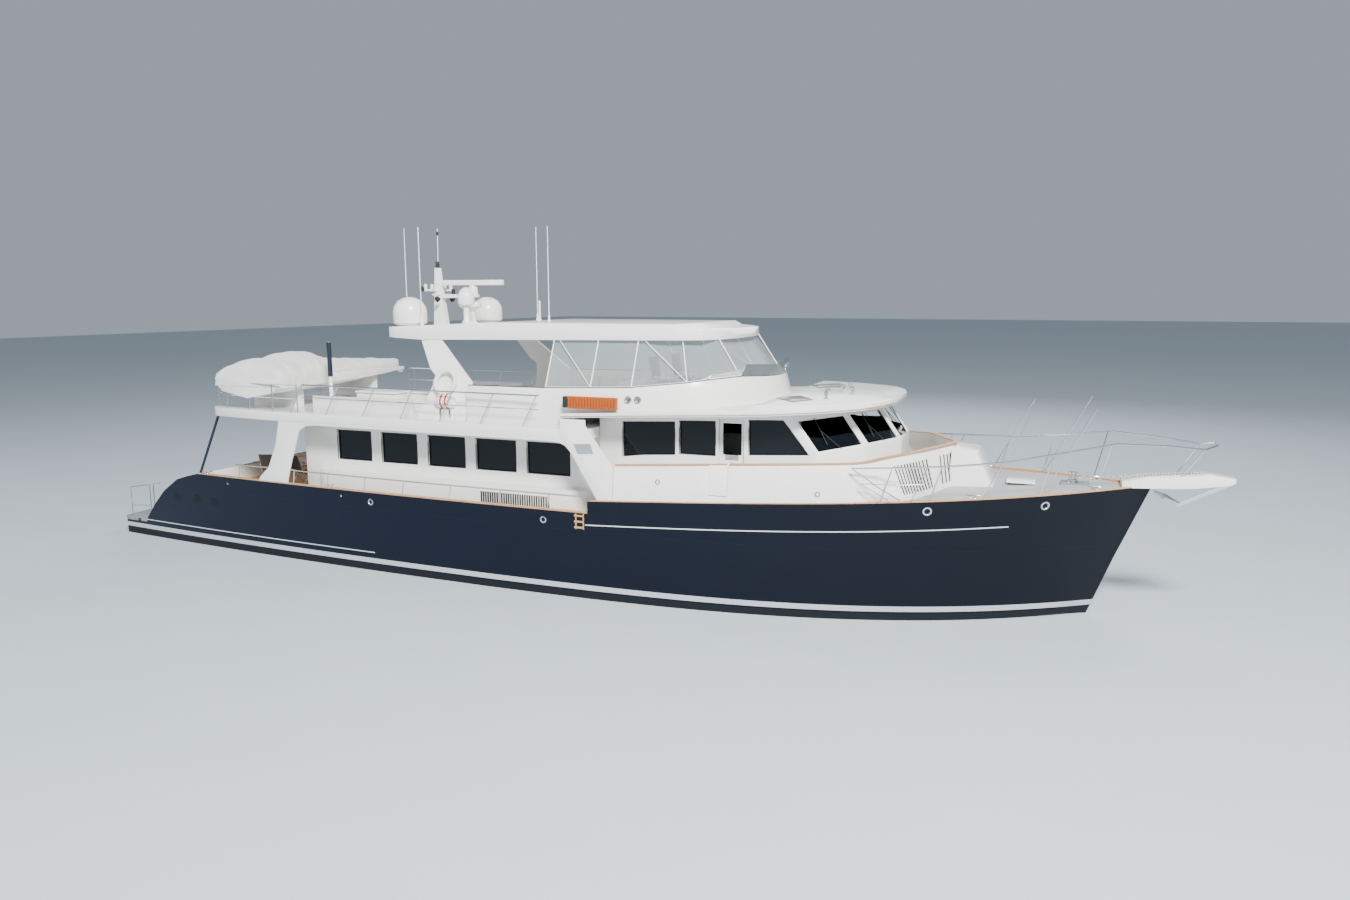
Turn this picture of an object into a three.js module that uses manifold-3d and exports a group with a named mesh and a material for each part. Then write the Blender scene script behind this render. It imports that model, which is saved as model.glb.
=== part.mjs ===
// Flybridge motor yacht of about thirty metres, with raised pilothouse, Portuguese bridge,
// covered side decks, hardtop over the flybridge and a tender stowed across the boat deck.
// Millimetres. +X forward, +Y to port, +Z up. The origin is on the centreline at the waterline,
// midway between the aft edge of the swim platform and the tip of the anchor platform.
import * as THREE from "three";
import { mergeVertices } from "three/addons/utils/BufferGeometryUtils.js";
import Module from "manifold-3d";

const wasm = await Module();
wasm.setup();

// ---- driving dimensions -------------------------------------------------------------
const GAP = 0.3; // between pieces that rest on each other
const CLEAR = 6; // between a moving piece and its neighbours
const HALF_LENGTH = 15100; // platform edge and anchor platform tip
const STEM_HEAD_X = 13520;
const STEM_FOOT_X = 12350;
const HULL_AFT_X = -14900;
const BEAM_HALF = 3420; // at the sheer, amidships
const CHINE_HALF = 3330;
const KEEL_Z = -900;
const SKEG_Z = -1500; // the keel foot, the lowest point
const SHEER_MID_Z = 2400;
const SHEER_RISE = 650;
const STEP_X = 1350; // where the sheer steps up to the bridge deck
const AFT_SHEER_Z = 2110;
const MAIN_DECK_Z = 1680;
const BRIDGE_DECK_Z = 2400;
const BULWARK_T = 110;
const COCKPIT_AFT_X = -11350;
const PLATFORM_Z = 500;
const PLATFORM_T = 100;
const SALOON_AFT_X = -7850;
const SALOON_FORE_X = 1290;
const SALOON_HALF = 2450;
const WALL_T = 60;
const GLASS_T = 12;
const BOAT_DECK_Z = 4080;
const BOAT_DECK_T = 240;
const BOAT_DECK_AFT_X = -10900;
const PILOT_AFT_X = 1310;
const PILOT_HALF = 2600;
const ROOF_AFT_X = 600;
const ROOF_AFT_Z = 4340; // underside at the aft edge
const ROOF_SLOPE = 0.0514;
const ROOF_T = 100;
const BROW_Z = 4840;
const HARDTOP_Z = 6100;
const MAST_TOP_Z = 7960;
const RAIL_R = 20;
const SHAFT_TILT = 7; // degrees
const SHAFT_Y = 1500;
const PROP_X = -11000;
const PROP_Z = -1040;
const PROP_R = 420;
const RUDDER_X = -12150;
const TENDER_X = -9250;
const TENDER_BEAM = 2250;
const TENDER_AFT_Y = -3050;
const TENDER_BOW_Y = 3200;
const DAVIT_X = -7430;
const DAVIT_Y = -1800;
const DAVIT_PIVOT_Z = 4990;
const BOOM_LENGTH = 3000;
const SCREEN_Y = 3315; // side screen's distance from the centreline, amidships
const SCREEN_LEAN = 0.0229; // and its outward offset per length forward

// ---- building blocks ----------------------------------------------------------------
function toSolid(geometry) {
  let g = geometry.clone();
  g.deleteAttribute("normal");
  g.deleteAttribute("uv");
  g = mergeVertices(g, 1e-3);
  const mesh = new wasm.Mesh({
    numProp: 3,
    vertProperties: new Float32Array(g.attributes.position.array),
    triVerts: new Uint32Array(g.index.array),
  });
  return new wasm.Manifold(mesh);
}

function toGeometry(solid) {
  const mesh = solid.getMesh();
  const g = new THREE.BufferGeometry();
  g.setAttribute("position", new THREE.BufferAttribute(new Float32Array(mesh.vertProperties), 3));
  g.setIndex(new THREE.BufferAttribute(new Uint32Array(mesh.triVerts), 1));
  g.computeVertexNormals();
  return g;
}

function join(...solids) {
  let out = solids[0];
  for (const s of solids.slice(1)) {
    out = out.add(s);
  }
  return out;
}

function cut(body, ...tools) {
  let out = body;
  for (const t of tools) {
    out = out.subtract(t);
  }
  return out;
}

function box(x0, x1, y0, y1, z0, z1) {
  const g = new THREE.BoxGeometry(x1 - x0, y1 - y0, z1 - z0);
  g.translate((x0 + x1) / 2, (y0 + y1) / 2, (z0 + z1) / 2);
  return toSolid(g);
}

// A closed outline extruded between two planes. The outline's two numbers are (x, y) for
// axis z, (x, z) for axis y and (y, z) for axis x.
function prism(axis, outline, lo, hi) {
  const shape = new THREE.Shape(outline.map((p) => new THREE.Vector2(p[0], p[1])));
  const g = new THREE.ExtrudeGeometry(shape, { depth: hi - lo, bevelEnabled: false });
  g.translate(0, 0, lo);
  if (axis === "y") {
    g.applyMatrix4(new THREE.Matrix4().set(1, 0, 0, 0, 0, 0, 1, 0, 0, 1, 0, 0, 0, 0, 0, 1));
    return toSolid(flip(g));
  }
  if (axis === "x") {
    g.applyMatrix4(new THREE.Matrix4().set(0, 0, 1, 0, 1, 0, 0, 0, 0, 1, 0, 0, 0, 0, 0, 1));
  }
  return toSolid(g);
}

function flip(geometry) {
  const g = geometry.index ? geometry.toNonIndexed() : geometry;
  const a = g.attributes.position.array;
  for (let i = 0; i < a.length; i += 9) {
    for (let k = 0; k < 3; k += 1) {
      const t = a[i + 3 + k];
      a[i + 3 + k] = a[i + 6 + k];
      a[i + 6 + k] = t;
    }
  }
  return g;
}

// A solid through a row of rings with the same number of points, closed at both ends.
function loft(rings) {
  const n = rings[0].length;
  const tri = [];
  const quad = (a, b, c, d) => {
    tri.push(a, b, c, a, c, d);
  };
  for (let i = 0; i + 1 < rings.length; i += 1) {
    for (let j = 0; j < n; j += 1) {
      const k = (j + 1) % n;
      quad(rings[i][j], rings[i][k], rings[i + 1][k], rings[i + 1][j]);
    }
  }
  const cap = (ring, turn) => {
    const mid = [0, 1, 2].map((c) => ring.reduce((s, p) => s + p[c], 0) / n);
    for (let j = 0; j < n; j += 1) {
      const k = (j + 1) % n;
      if (turn) {
        tri.push(mid, ring[k], ring[j]);
      } else {
        tri.push(mid, ring[j], ring[k]);
      }
    }
  };
  cap(rings[0], true);
  cap(rings[rings.length - 1], false);
  const g = new THREE.BufferGeometry();
  g.setAttribute("position", new THREE.BufferAttribute(new Float32Array(tri.flat()), 3));
  const s = toSolid(g);
  if (s.volume() > 0) {
    return s;
  }
  return toSolid(flip(g));
}

// A round bar through a row of points, mitred at the bends.
function bar(points, radius, sides = 6) {
  const p = points.map((q) => new THREE.Vector3(...q));
  const rings = [];
  let side = null;
  for (let i = 0; i < p.length; i += 1) {
    const a = i > 0 ? p[i].clone().sub(p[i - 1]).normalize() : null;
    const b = i + 1 < p.length ? p[i + 1].clone().sub(p[i]).normalize() : null;
    const dir = (a || b).clone();
    if (a && b) {
      dir.add(b).normalize();
    }
    if (!side) {
      side = new THREE.Vector3(0, 0, 1).cross(dir);
      if (side.length() < 0.2) {
        side = new THREE.Vector3(0, 1, 0).cross(dir);
      }
    }
    side = side.clone().sub(dir.clone().multiplyScalar(side.dot(dir))).normalize();
    const up = dir.clone().cross(side);
    const stretch = a && b ? 1 / Math.max(0.5, a.dot(dir)) : 1;
    const ring = [];
    for (let k = 0; k < sides; k += 1) {
      const t = ((k + 0.5) / sides) * Math.PI * 2;
      const v = p[i].clone();
      v.addScaledVector(side, Math.cos(t) * radius * stretch);
      v.addScaledVector(up, Math.sin(t) * radius);
      ring.push([v.x, v.y, v.z]);
    }
    rings.push(ring);
  }
  return loft(rings);
}

// An upright or tilted cylinder or cone from one point to another.
function rod(from, to, r0, r1 = r0, sides = 16) {
  const a = new THREE.Vector3(...from);
  const b = new THREE.Vector3(...to);
  const g = new THREE.CylinderGeometry(r1, r0, a.distanceTo(b), sides);
  g.translate(0, a.distanceTo(b) / 2, 0);
  const q = new THREE.Quaternion();
  q.setFromUnitVectors(new THREE.Vector3(0, 1, 0), b.clone().sub(a).normalize());
  g.applyQuaternion(q);
  g.translate(a.x, a.y, a.z);
  return toSolid(g);
}

// A wall swept along a line: at each station four corners, outer foot, outer top, inner top,
// inner foot.
function sweepWall(stations) {
  return loft(stations);
}

// A plate between four corners, pushed out on both sides of its face.
function pad(p0, p1, p2, p3, inward, outward) {
  const a = new THREE.Vector3(...p0);
  const n = new THREE.Vector3(...p1).sub(a).cross(new THREE.Vector3(...p3).sub(a)).normalize();
  const push = (p, d) => [p[0] + n.x * d, p[1] + n.y * d, p[2] + n.z * d];
  const quad = [p0, p1, p2, p3];
  return loft([quad.map((p) => push(p, -inward)), quad.map((p) => push(p, outward))]);
}

// The body with a small gap cut around a neighbour.
function clearOf(body, ...neighbours) {
  let out = body;
  for (const other of neighbours) {
    for (const d of [[1, 0, 0], [-1, 0, 0], [0, 1, 0], [0, -1, 0], [0, 0, 1], [0, 0, -1]]) {
      out = out.subtract(other.translate(d.map((v) => v * GAP)));
    }
  }
  return out;
}

function mirrorY(solid) {
  return solid.mirror([0, 1, 0]);
}

// Straight-line reading of a short table of (position, value) pairs.
function along(table, x) {
  if (x <= table[0][0]) {
    return table[0][1];
  }
  for (let i = 1; i < table.length; i += 1) {
    if (x <= table[i][0]) {
      const t = (x - table[i - 1][0]) / (table[i][0] - table[i - 1][0]);
      return table[i - 1][1] + t * (table[i][1] - table[i - 1][1]);
    }
  }
  return table[table.length - 1][1];
}

// Half an outline, given from aft to fore on the port side, closed across the centreline.
function bothSides(half) {
  const other = half.slice().reverse().filter((p) => p[1] > 1).map((p) => [p[0], -p[1]]);
  return half.concat(other);
}

function steps(from, to, count) {
  const out = [];
  for (let i = 0; i <= count; i += 1) {
    out.push(from + ((to - from) * i) / count);
  }
  return out;
}

const group = new THREE.Group();
group.name = "motor_yacht";
const FINISH = {
  navy: [0x0a2342, 0.25, 0.0],
  white: [0xeceae8, 0.35, 0.0],
  grey: [0x9a9d9f, 0.6, 0.0],
  teak: [0xb98a58, 0.6, 0.0],
  steel: [0xcfd3d6, 0.2, 1.0],
  bronze: [0xb08d57, 0.3, 1.0],
  glass: [0x0c141d, 0.1, 0.0],
  vinyl: [0xdfe5e8, 0.2, 0.0],
  canvas: [0xe9e7e2, 0.9, 0.0],
  dark: [0x1b2733, 0.5, 0.0],
  cushion: [0xd8d2c6, 0.9, 0.0],
  black: [0x14161a, 0.6, 0.0],
};

function place(name, solid, finish) {
  const [color, roughness, metalness] = FINISH[finish];
  const clear = finish === "glass" || finish === "vinyl";
  const material = new THREE.MeshStandardMaterial({
    color,
    roughness,
    metalness,
    transparent: clear,
    opacity: clear ? 0.4 : 1,
  });
  const mesh = new THREE.Mesh(toGeometry(solid), material);
  mesh.name = name;
  group.add(mesh);
  return solid;
}

function placePair(name, starboard, finish) {
  place(name + "_starboard", starboard, finish);
  place(name + "_port", mirrorY(starboard), finish);
}

// ---- hull ---------------------------------------------------------------------------
function sheerZ(x) {
  const t = Math.max(0, (x - STEP_X + 50) / (STEM_HEAD_X - STEP_X + 50));
  return SHEER_MID_Z + SHEER_RISE * Math.pow(t, 0.9);
}

function sheerHalf(x) {
  if (x < 0) {
    return BEAM_HALF - 450 * Math.pow(x / 11500, 2);
  }
  return BEAM_HALF * (1 - Math.pow(Math.min(1, x / STEM_HEAD_X), 3.4));
}

function chineHalf(x) {
  if (x < -2000) {
    return sheerHalf(x) - (BEAM_HALF - CHINE_HALF);
  }
  return CHINE_HALF * (1 - Math.pow(Math.min(1, (x + 2000) / (STEM_FOOT_X + 2070)), 3.2));
}

function keelZ(x) {
  if (x < -5000) {
    return KEEL_Z + 450 * Math.pow((x + 5000) / 9900, 2);
  }
  if (x > 6000) {
    return KEEL_Z + 840 * Math.pow((x - 6000) / (STEM_FOOT_X - 6000), 2.5);
  }
  return KEEL_Z;
}

function hullRing(u) {
  const span = (v) => HULL_AFT_X + u * (STEM_FOOT_X + (STEM_HEAD_X - STEM_FOOT_X) * v - HULL_AFT_X);
  const x0 = span(0);
  const x1 = span(1);
  const zc = -100 + 180 * Math.pow(u, 6);
  const hc = Math.max(14, chineHalf(x0));
  const hs = Math.max(24, sheerHalf(x1));
  const side = [];
  for (const v of steps(0, 1, 8)) {
    const flare = 0.5 * Math.max(0, u - 0.55) / 0.45;
    const w = v * (1 - flare) + flare * v * v;
    side.push([span(v), hc + (hs - hc) * w, zc + (sheerZ(x1) - zc) * v]);
  }
  const zk = keelZ(x0);
  const half = [[x0, hc * 0.5, zk + (zc - zk) * 0.42], ...side];
  const back = half.slice().reverse().map((p) => [p[0], -p[1], p[2]]);
  return [[x0, 0, zk], ...half, [x1, 0, sheerZ(x1)], ...back];
}

const HATCH_Z = sheerZ(10900) + 30;

function wellOutline(xa, xf, inset, count) {
  return bothSides(steps(xa, xf, count).map((x) => [x, sheerHalf(x) - inset]));
}

function makeHull() {
  let hull = loft(steps(0, 1, 46).map((t) => hullRing(1 - Math.pow(1 - t, 1.35))));
  const skeg = [[-9300, keelZ(-9300) + 60], [-8700, SKEG_Z], [1500, SKEG_Z], [3600, KEEL_Z + 60]];
  hull = join(hull, prism("y", skeg, -110, 110));
  const transom = [
    [-15200, PLATFORM_Z - PLATFORM_T], [-13950, PLATFORM_Z - PLATFORM_T], [-13910, 540],
    [-13480, 1020], [-12980, 1480], [-12340, 1880], [-11890, 2010], [-11470, AFT_SHEER_Z],
    [STEP_X, AFT_SHEER_Z], [STEP_X, 3400], [-15200, 3400],
  ];
  hull = cut(hull, prism("y", transom, -4000, 4000));
  hull = cut(hull, prism("z", wellOutline(COCKPIT_AFT_X, STEP_X - 50, BULWARK_T, 10), MAIN_DECK_Z, 3000));
  const bow = [[8000, 2440], [8300, 2200], [8650, 1500], [8800, 600]];
  const fore = steps(STEP_X - 60, 7400, 6).map((x) => [x, sheerHalf(x) - BULWARK_T]).concat(bow);
  hull = cut(hull, prism("z", bothSides(fore), BRIDGE_DECK_Z, 4000));
  for (let i = 0; i < 5; i += 1) {
    const x1 = -13250 + 300 * i;
    const z = PLATFORM_Z + ((MAIN_DECK_Z - PLATFORM_Z) / 5) * (i + 1);
    const aft = i === 0 ? -14000 : x1 - 300;
    hull = cut(hull, box(aft, i === 4 ? COCKPIT_AFT_X + 10 : x1, 1500, 2450, z, 3000));
    hull = cut(hull, box(aft, i === 4 ? COCKPIT_AFT_X + 10 : x1, -2450, -1500, z, 3000));
  }
  hull = join(hull, box(10530, 11090, -280, 280, 2850, HATCH_Z - 5));
  for (const s of [-1, 1]) {
    const a = shaftPoint(3000, s);
    const b = shaftPoint(4700, s);
    hull = cut(hull, rod(a, b, 64, 64, 12));
  }
  return hull;
}

// ---- running gear -------------------------------------------------------------------
function shaftPoint(distance, side) {
  const t = (SHAFT_TILT * Math.PI) / 180;
  return [PROP_X + distance * Math.cos(t), side * SHAFT_Y, PROP_Z + distance * Math.sin(t)];
}

function makePropeller(side) {
  let prop = join(
    rod(shaftPoint(-60, side), shaftPoint(4400, side), 45, 45, 12),
    rod(shaftPoint(-150, side), shaftPoint(190, side), 85, 105, 16),
  );
  for (let k = 0; k < 4; k += 1) {
    const rings = steps(0, 1, 4).map((t) => {
      const r = 60 + (PROP_R - 60) * t;
      const chord = 90 + 150 * Math.sin(Math.PI * Math.min(1, 0.15 + t * 0.8));
      const pitch = (1.1 - 0.65 * t) * side;
      const thick = 18 - 10 * t;
      const ring = [[-chord, 0], [0, thick], [chord, 0], [0, -thick]].map((p) => {
        const x = (p[0] / 2) * Math.cos(pitch) - p[1] * Math.sin(pitch);
        const y = (p[0] / 2) * Math.sin(pitch) + p[1] * Math.cos(pitch);
        return [x, y, r];
      });
      return ring;
    });
    const blade = loft(rings).rotate([90 * k, 0, 0]).rotate([0, -SHAFT_TILT, 0]);
    prop = join(prop, blade.translate([PROP_X, side * SHAFT_Y, PROP_Z]));
  }
  return prop;
}

function makeShaftBracket(side, hull) {
  const a = shaftPoint(196, side);
  const b = shaftPoint(560, side);
  let body = rod(a, b, 100, 100, 16);
  const mid = shaftPoint(370, side);
  const leg = (dy) => loft([0, 1].map((t) => {
    const y = mid[1] + dy * t;
    const z = mid[2] + 50 + t * 760;
    const lean = 120 * t;
    return [[mid[0] - 130 + lean, y, z], [mid[0] + lean, y + 16, z],
      [mid[0] + 130 + lean, y, z], [mid[0] + lean, y - 16, z]];
  }));
  body = join(body, leg(-360), leg(360));
  body = cut(body, rod(shaftPoint(100, side), shaftPoint(700, side), 53, 53, 16));
  return clearOf(body, hull);
}

function makeRudder(side) {
  const blade = prism("y", [[-260, -1420], [200, -1420], [250, -560], [-330, -560]], -32, 32);
  const stock = rod([0, 0, -700], [0, 0, -200], 45, 45, 16);
  return join(blade, stock).translate([RUDDER_X, side * SHAFT_Y, 0]);
}

const solidHull = makeHull();
let hull = solidHull;
for (const s of [-1, 1]) {
  const name = s < 0 ? "starboard" : "port";
  place("propeller_" + name, makePropeller(s), "bronze");
  place("shaft_bracket_" + name, makeShaftBracket(s, solidHull), "bronze");
  place("rudder_" + name, makeRudder(s), "bronze");
  hull = cut(hull, rod([RUDDER_X, s * SHAFT_Y, -900], [RUDDER_X, s * SHAFT_Y, -190], 53, 53, 16));
}
// The hull is moulded in sections that meet at the main deck and at the step in the sheer.
const seam = GAP / 2;
const above = box(-16000, 16000, -5000, 5000, MAIN_DECK_Z + seam, 5000);
const upper = hull.intersect(above);
const aftUpper = upper.intersect(box(-16000, STEP_X - seam, -5000, 5000, 0, 5000));
const centre = box(-13000, COCKPIT_AFT_X + 10, -1600, 1600, 0, 5000);
place("hull", hull.intersect(box(-16000, 16000, -5000, 5000, -3000, MAIN_DECK_Z - seam)), "navy");
place("forward_topsides", upper.intersect(box(STEP_X + seam, 16000, -5000, 5000, 0, 5000)), "navy");
place("aft_bulwark", cut(aftUpper, centre), "navy");
place("transom_bulwark", aftUpper.intersect(centre), "navy");

// ---- swim platform and transom gates ------------------------------------------------
function makePlatform() {
  const top = PLATFORM_Z;
  const half = [[-HALF_LENGTH, 2300], [-HALF_LENGTH + 90, 2520], [-HALF_LENGTH + 300, 2600], [-13951, 2640]];
  return prism("z", bothSides(half), top - PLATFORM_T + GAP, top);
}
place("swim_platform", makePlatform(), "grey");

// Each gate closes the head of a transom stair and swings forward into the cockpit.
function makeGate() {
  const x = COCKPIT_AFT_X - 70;
  return box(x, x + 40, -2450 + 12, -1500 - 12, MAIN_DECK_Z + 20, AFT_SHEER_Z);
}
placePair("transom_gate", makeGate(), "white");

// ---- stainless rails over the aft bulwark -------------------------------------------
function screenY(x) {
  return SCREEN_Y + SCREEN_LEAN * x;
}

function makeSideRail() {
  const inside = (x) => Math.min(screenY(x) - 30 - RAIL_R - 4, sheerHalf(x) - BULWARK_T / 2);
  const y = (x) => -(x < -7800 ? inside(x) : sheerHalf(x) - BULWARK_T / 2);
  const xs = [-9780, -7700, -6500, -5250, -4000, -2550, -1100, 250];
  const top = 2500;
  let rail = bar([-9900, -9000, -7850, -7500, -5500, -3300, -1100, 1180].map((x) => [x, y(x), top]), RAIL_R);
  for (const x of xs) {
    rail = join(rail, bar([[x, y(x), AFT_SHEER_Z + GAP], [x + 60, y(x + 60), top]], 14));
  }
  const low = prism("y", [[-12000, 1000], [1400, 1000], [1400, AFT_SHEER_Z + GAP], [-12000, AFT_SHEER_Z + GAP]], -4000, 4000);
  return cut(rail, low);
}

// ---- side screens: the aft wing, the header over the side deck and the forward wing ---

function makeSideScreen() {
  const zt = BOAT_DECK_Z - BOAT_DECK_T - GAP;
  const foot = (x) => sheerZ(x) + 2;
  const outline = [
    [-8960, AFT_SHEER_Z + GAP], [-7930, AFT_SHEER_Z + GAP], [-7900, 2270], [-7760, 2700], [-7550, 3230],
    [-7400, 3600], [-7150, 3740], [-6900, 3775], [400, 3775], [630, 3745], [780, 3690], [900, 3560],
    [1540, 2540], [1590, foot(1700)], [1985, foot(1985)], [1985, 3270], [1290, 4190], [1290, 4325],
    [640, 4325], [600, zt], [-8090, zt], [-8250, 3190], [-8550, 2540], [-8890, 2240],
  ];
  const flat = prism("y", outline, -30, 30);
  return flat.transform([1, -SCREEN_LEAN, 0, 0, 0, 1, 0, 0, 0, 0, 1, 0, 0, -3315, 0, 1]);
}
const sideScreen = makeSideScreen();
placePair("side_screen", sideScreen, "white");
placePair("side_rail", clearOf(makeSideRail(), sideScreen), "steel");


// ---- saloon -------------------------------------------------------------------------
const SALOON_WINDOWS = [[-6740, -5600], [-5270, -4120], [-3780, -2630], [-2310, -1120], [-810, 410]];
const SALOON_SILL = 2780;
const SALOON_HEAD = 3580;
const SALOON_DOOR = 680; // half the doorway, and the travel of each leaf

function makeSaloonWalls() {
  const top = BOAT_DECK_Z - BOAT_DECK_T - GAP;
  const base = MAIN_DECK_Z + GAP;
  const h = SALOON_HALF;
  const trunk = [[-7370, 2455], [-7250, 2600], [-6950, 2690], [600, 2740], [1000, 2700], [1020, 2455]];
  let body = box(SALOON_AFT_X, SALOON_FORE_X, -h, h, base, top);
  const side = prism("z", [[-7370, h - 20], ...trunk.slice(1, 5), [1020, h - 20]], base, 2480);
  body = join(body, side, mirrorY(side));
  body = cut(body, box(SALOON_AFT_X + WALL_T, SALOON_FORE_X - WALL_T, -h + WALL_T, h - WALL_T, 1000, 4200));
  SALOON_WINDOWS.forEach(([a, b], i) => {
    const corner = i === 4 ? [[b, 3380], [b - 200, SALOON_HEAD]] : [[b, SALOON_HEAD]];
    body = cut(body, prism("y", [[a, SALOON_SILL], [b, SALOON_SILL], ...corner, [a, SALOON_HEAD]], -2800, 2800));
  });
  const aft = [SALOON_AFT_X - 20, SALOON_AFT_X + WALL_T + 20];
  body = cut(body, box(aft[0], aft[1], -SALOON_DOOR, SALOON_DOOR, base + 40, top - 110));
  body = cut(body, box(aft[0], aft[1], 900, 2150, 2500, top - 150));
  return cut(body, box(aft[0], aft[1], -2150, -900, 2500, top - 150));
}

function makeSaloonDoor() {
  const x = SALOON_AFT_X + WALL_T + CLEAR;
  const z0 = MAIN_DECK_Z + CLEAR + GAP;
  const z1 = BOAT_DECK_Z - BOAT_DECK_T - 60;
  const leaf = box(x, x + 40, -SALOON_DOOR - 30, -4, z0, z1);
  return cut(leaf, box(x - 10, x + 50, -SALOON_DOOR + 60, -90, z0 + 130, z1 - 160));
}
place("saloon_walls", makeSaloonWalls(), "white");
placePair("saloon_glass", box(-6900, 560, -SALOON_HALF + WALL_T + GAP, -SALOON_HALF + WALL_T + GAP + GLASS_T,
  SALOON_SILL - 70, SALOON_HEAD + 70), "glass");
placePair("saloon_door", makeSaloonDoor(), "glass");

// ---- boat deck ----------------------------------------------------------------------
const DECK_SIDE = [
  [BOAT_DECK_AFT_X, 2450], [-10800, 2750], [-10500, 2950], [-8500, 3160], [-4000, 3255], [580, 3355],
  [600, 3280], [SALOON_FORE_X, 3295],
];
function makeTenderHull() {
  const rings = steps(0, 1, 14).map((t) => {
    const y = TENDER_AFT_Y + (TENDER_BOW_Y - TENDER_AFT_Y) * t;
    const w = (TENDER_BEAM / 2) * Math.min(1, Math.sqrt(Math.max(0.012, 1 - Math.pow(t, 4.2))));
    const rise = 430 * Math.pow(t, 3.2);
    const zb = 4400 + rise;
    const zg = 4960 + 150 * t * t;
    const zc = zb + 170 + 60 * t;
    const p = [[0, zb], [w * 0.8, zc], [w * 0.97, (zc + zg) / 2], [w, zg - 20], [w * 0.93, zg]];
    const back = p.slice(1).reverse().map((q) => [-q[0], q[1]]);
    return p.concat(back).map((q) => [TENDER_X + q[0], y, q[1]]);
  });
  return loft(rings);
}
const tenderHull = makeTenderHull();

function makeTenderCover() {
  const hump = [[0, 5080], [0.04, 5380], [0.11, 5470], [0.19, 5300], [0.24, 5560], [0.31, 5590], [0.42, 5330],
    [0.62, 5260], [0.8, 5180], [0.92, 5130], [0.97, 5115]];
  const rings = steps(0.01, 0.96, 22).map((t) => {
    const y = TENDER_AFT_Y + (TENDER_BOW_Y - TENDER_AFT_Y) * t;
    const w = (TENDER_BEAM / 2) * Math.min(1, Math.sqrt(Math.max(0.012, 1 - Math.pow(t, 4.2)))) * 0.92;
    const zg = 4960 + 150 * t * t + GAP;
    const top = Math.max(zg + 25, along(hump, t));
    const p = [[w, zg], [w, zg + 12], [w * 0.6, zg + (top - zg) * 0.62], [w * 0.24, top - 8]];
    const back = p.slice().reverse().map((q) => [-q[0], q[1]]);
    return p.concat(back).map((q) => [TENDER_X + q[0], y, q[1]]);
  });
  return clearOf(loft(rings), tenderHull);
}

function makeBoatDeck() {
  let deck = prism("z", bothSides(DECK_SIDE), BOAT_DECK_Z - BOAT_DECK_T, BOAT_DECK_Z);
  for (const y of [-1900, 1300]) {
    const chock = box(TENDER_X - 850, TENDER_X + 850, y - 70, y + 70, BOAT_DECK_Z - 20, 4760);
    deck = join(deck, clearOf(chock, tenderHull));
  }
  const coaming = box(-7250, -3990, -2740, -2660, BOAT_DECK_Z - 10, 4520);
  return join(deck, coaming, mirrorY(coaming));
}
place("boat_deck", makeBoatDeck(), "white");
place("tender_hull", tenderHull, "white");
place("tender_cover", makeTenderCover(), "canvas");

function deckSideY(x) {
  return along(DECK_SIDE, x);
}

// The rail round the boat deck, one tube down each side joined across the stern by its top bar.
function makeBoatDeckRail() {
  const y = (x) => deckSideY(x) - 45;
  const top = BOAT_DECK_Z + 750;
  let rail = bar([[0, -y(0) + 100, top], [-7320, -y(-7320) + 100, top]], RAIL_R);
  rail = join(rail, bar([[0, -y(0) + 55, top - 330], [-7320, -y(-7320) + 55, top - 330]], 12));
  for (const x of steps(-7320, -70, 6)) {
    const foot = [x - 350, -y(x - 350), BOAT_DECK_Z + GAP];
    rail = join(rail, bar([foot, [x, -y(x) + 100, top]], 16));
  }
  const low = box(-12000, 2000, -4000, 4000, 3000, BOAT_DECK_Z + GAP);
  return cut(rail, low);
}
placePair("boat_deck_rail", makeBoatDeckRail(), "steel");

// ---- Portuguese bridge --------------------------------------------------------------
function bulwarkStations() {
  const foot = steps(2000, 7400, 9).map((x) => [x, sheerHalf(x) - 12, sheerZ(x) + GAP]);
  const top = foot.map(([x, y]) => [x, y - 150, along([[1980, 3270], [4620, 3440], [7370, 3580]], x)]);
  const frontFoot = [[8050, 2700], [8420, 2560], [8680, 2300], [8950, 1720], [9190, 960], [9460, 300]];
  const frontTop = [[7700, 2700, 3605], [7960, 2370, 3650], [8330, 1980, 3700], [8640, 1620, 3740],
    [9040, 740, 3760], [9300, 240, 3778]];
  frontFoot.forEach(([x, y], i) => {
    foot.push([x, Math.min(y, sheerHalf(x) - 12), sheerZ(x) + GAP]);
    top.push(frontTop[i]);
  });
  return { foot, top };
}

function makeBulwark() {
  const { foot, top } = bulwarkStations();
  const whole = foot.map((p, i) => [p, top[i]]);
  const back = whole.slice().reverse().map(([a, b]) => [[a[0], -a[1], a[2]], [b[0], -b[1], b[2]]]);
  const all = whole.concat(back);
  const t = 90;
  const stations = all.map(([a, b], i) => {
    const p = all[Math.max(0, i - 1)][0];
    const q = all[Math.min(all.length - 1, i + 1)][0];
    const n = new THREE.Vector2(q[1] - p[1], p[0] - q[0]).normalize();
    const inner = (v) => [v[0] + n.x * t, v[1] + n.y * t, v[2]];
    return [a, b, inner(b), inner(a)];
  });
  const wall = sweepWall(stations);
  const nose = prism("y", [[9250, sheerZ(9250) + 2], [10230, sheerZ(10230) + 2], [9850, 3650], [9300, 3740]], -620, 620);
  const deck = [[1000, 1000], [11000, 1000]];
  for (const x of steps(11000, 2000, 9)) {
    deck.push([x, sheerZ(x) + GAP]);
  }
  return cut(join(wall, nose), prism("y", deck, -5000, 5000));
}
const GATE_X = [4310, 4756];
const bulwark = makeBulwark();
const gateHole = join(box(GATE_X[0], GATE_X[1], -4000, -2400, 2745, 4000), box(GATE_X[0], GATE_X[1], 2400, 4000, 2745, 4000));

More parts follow.
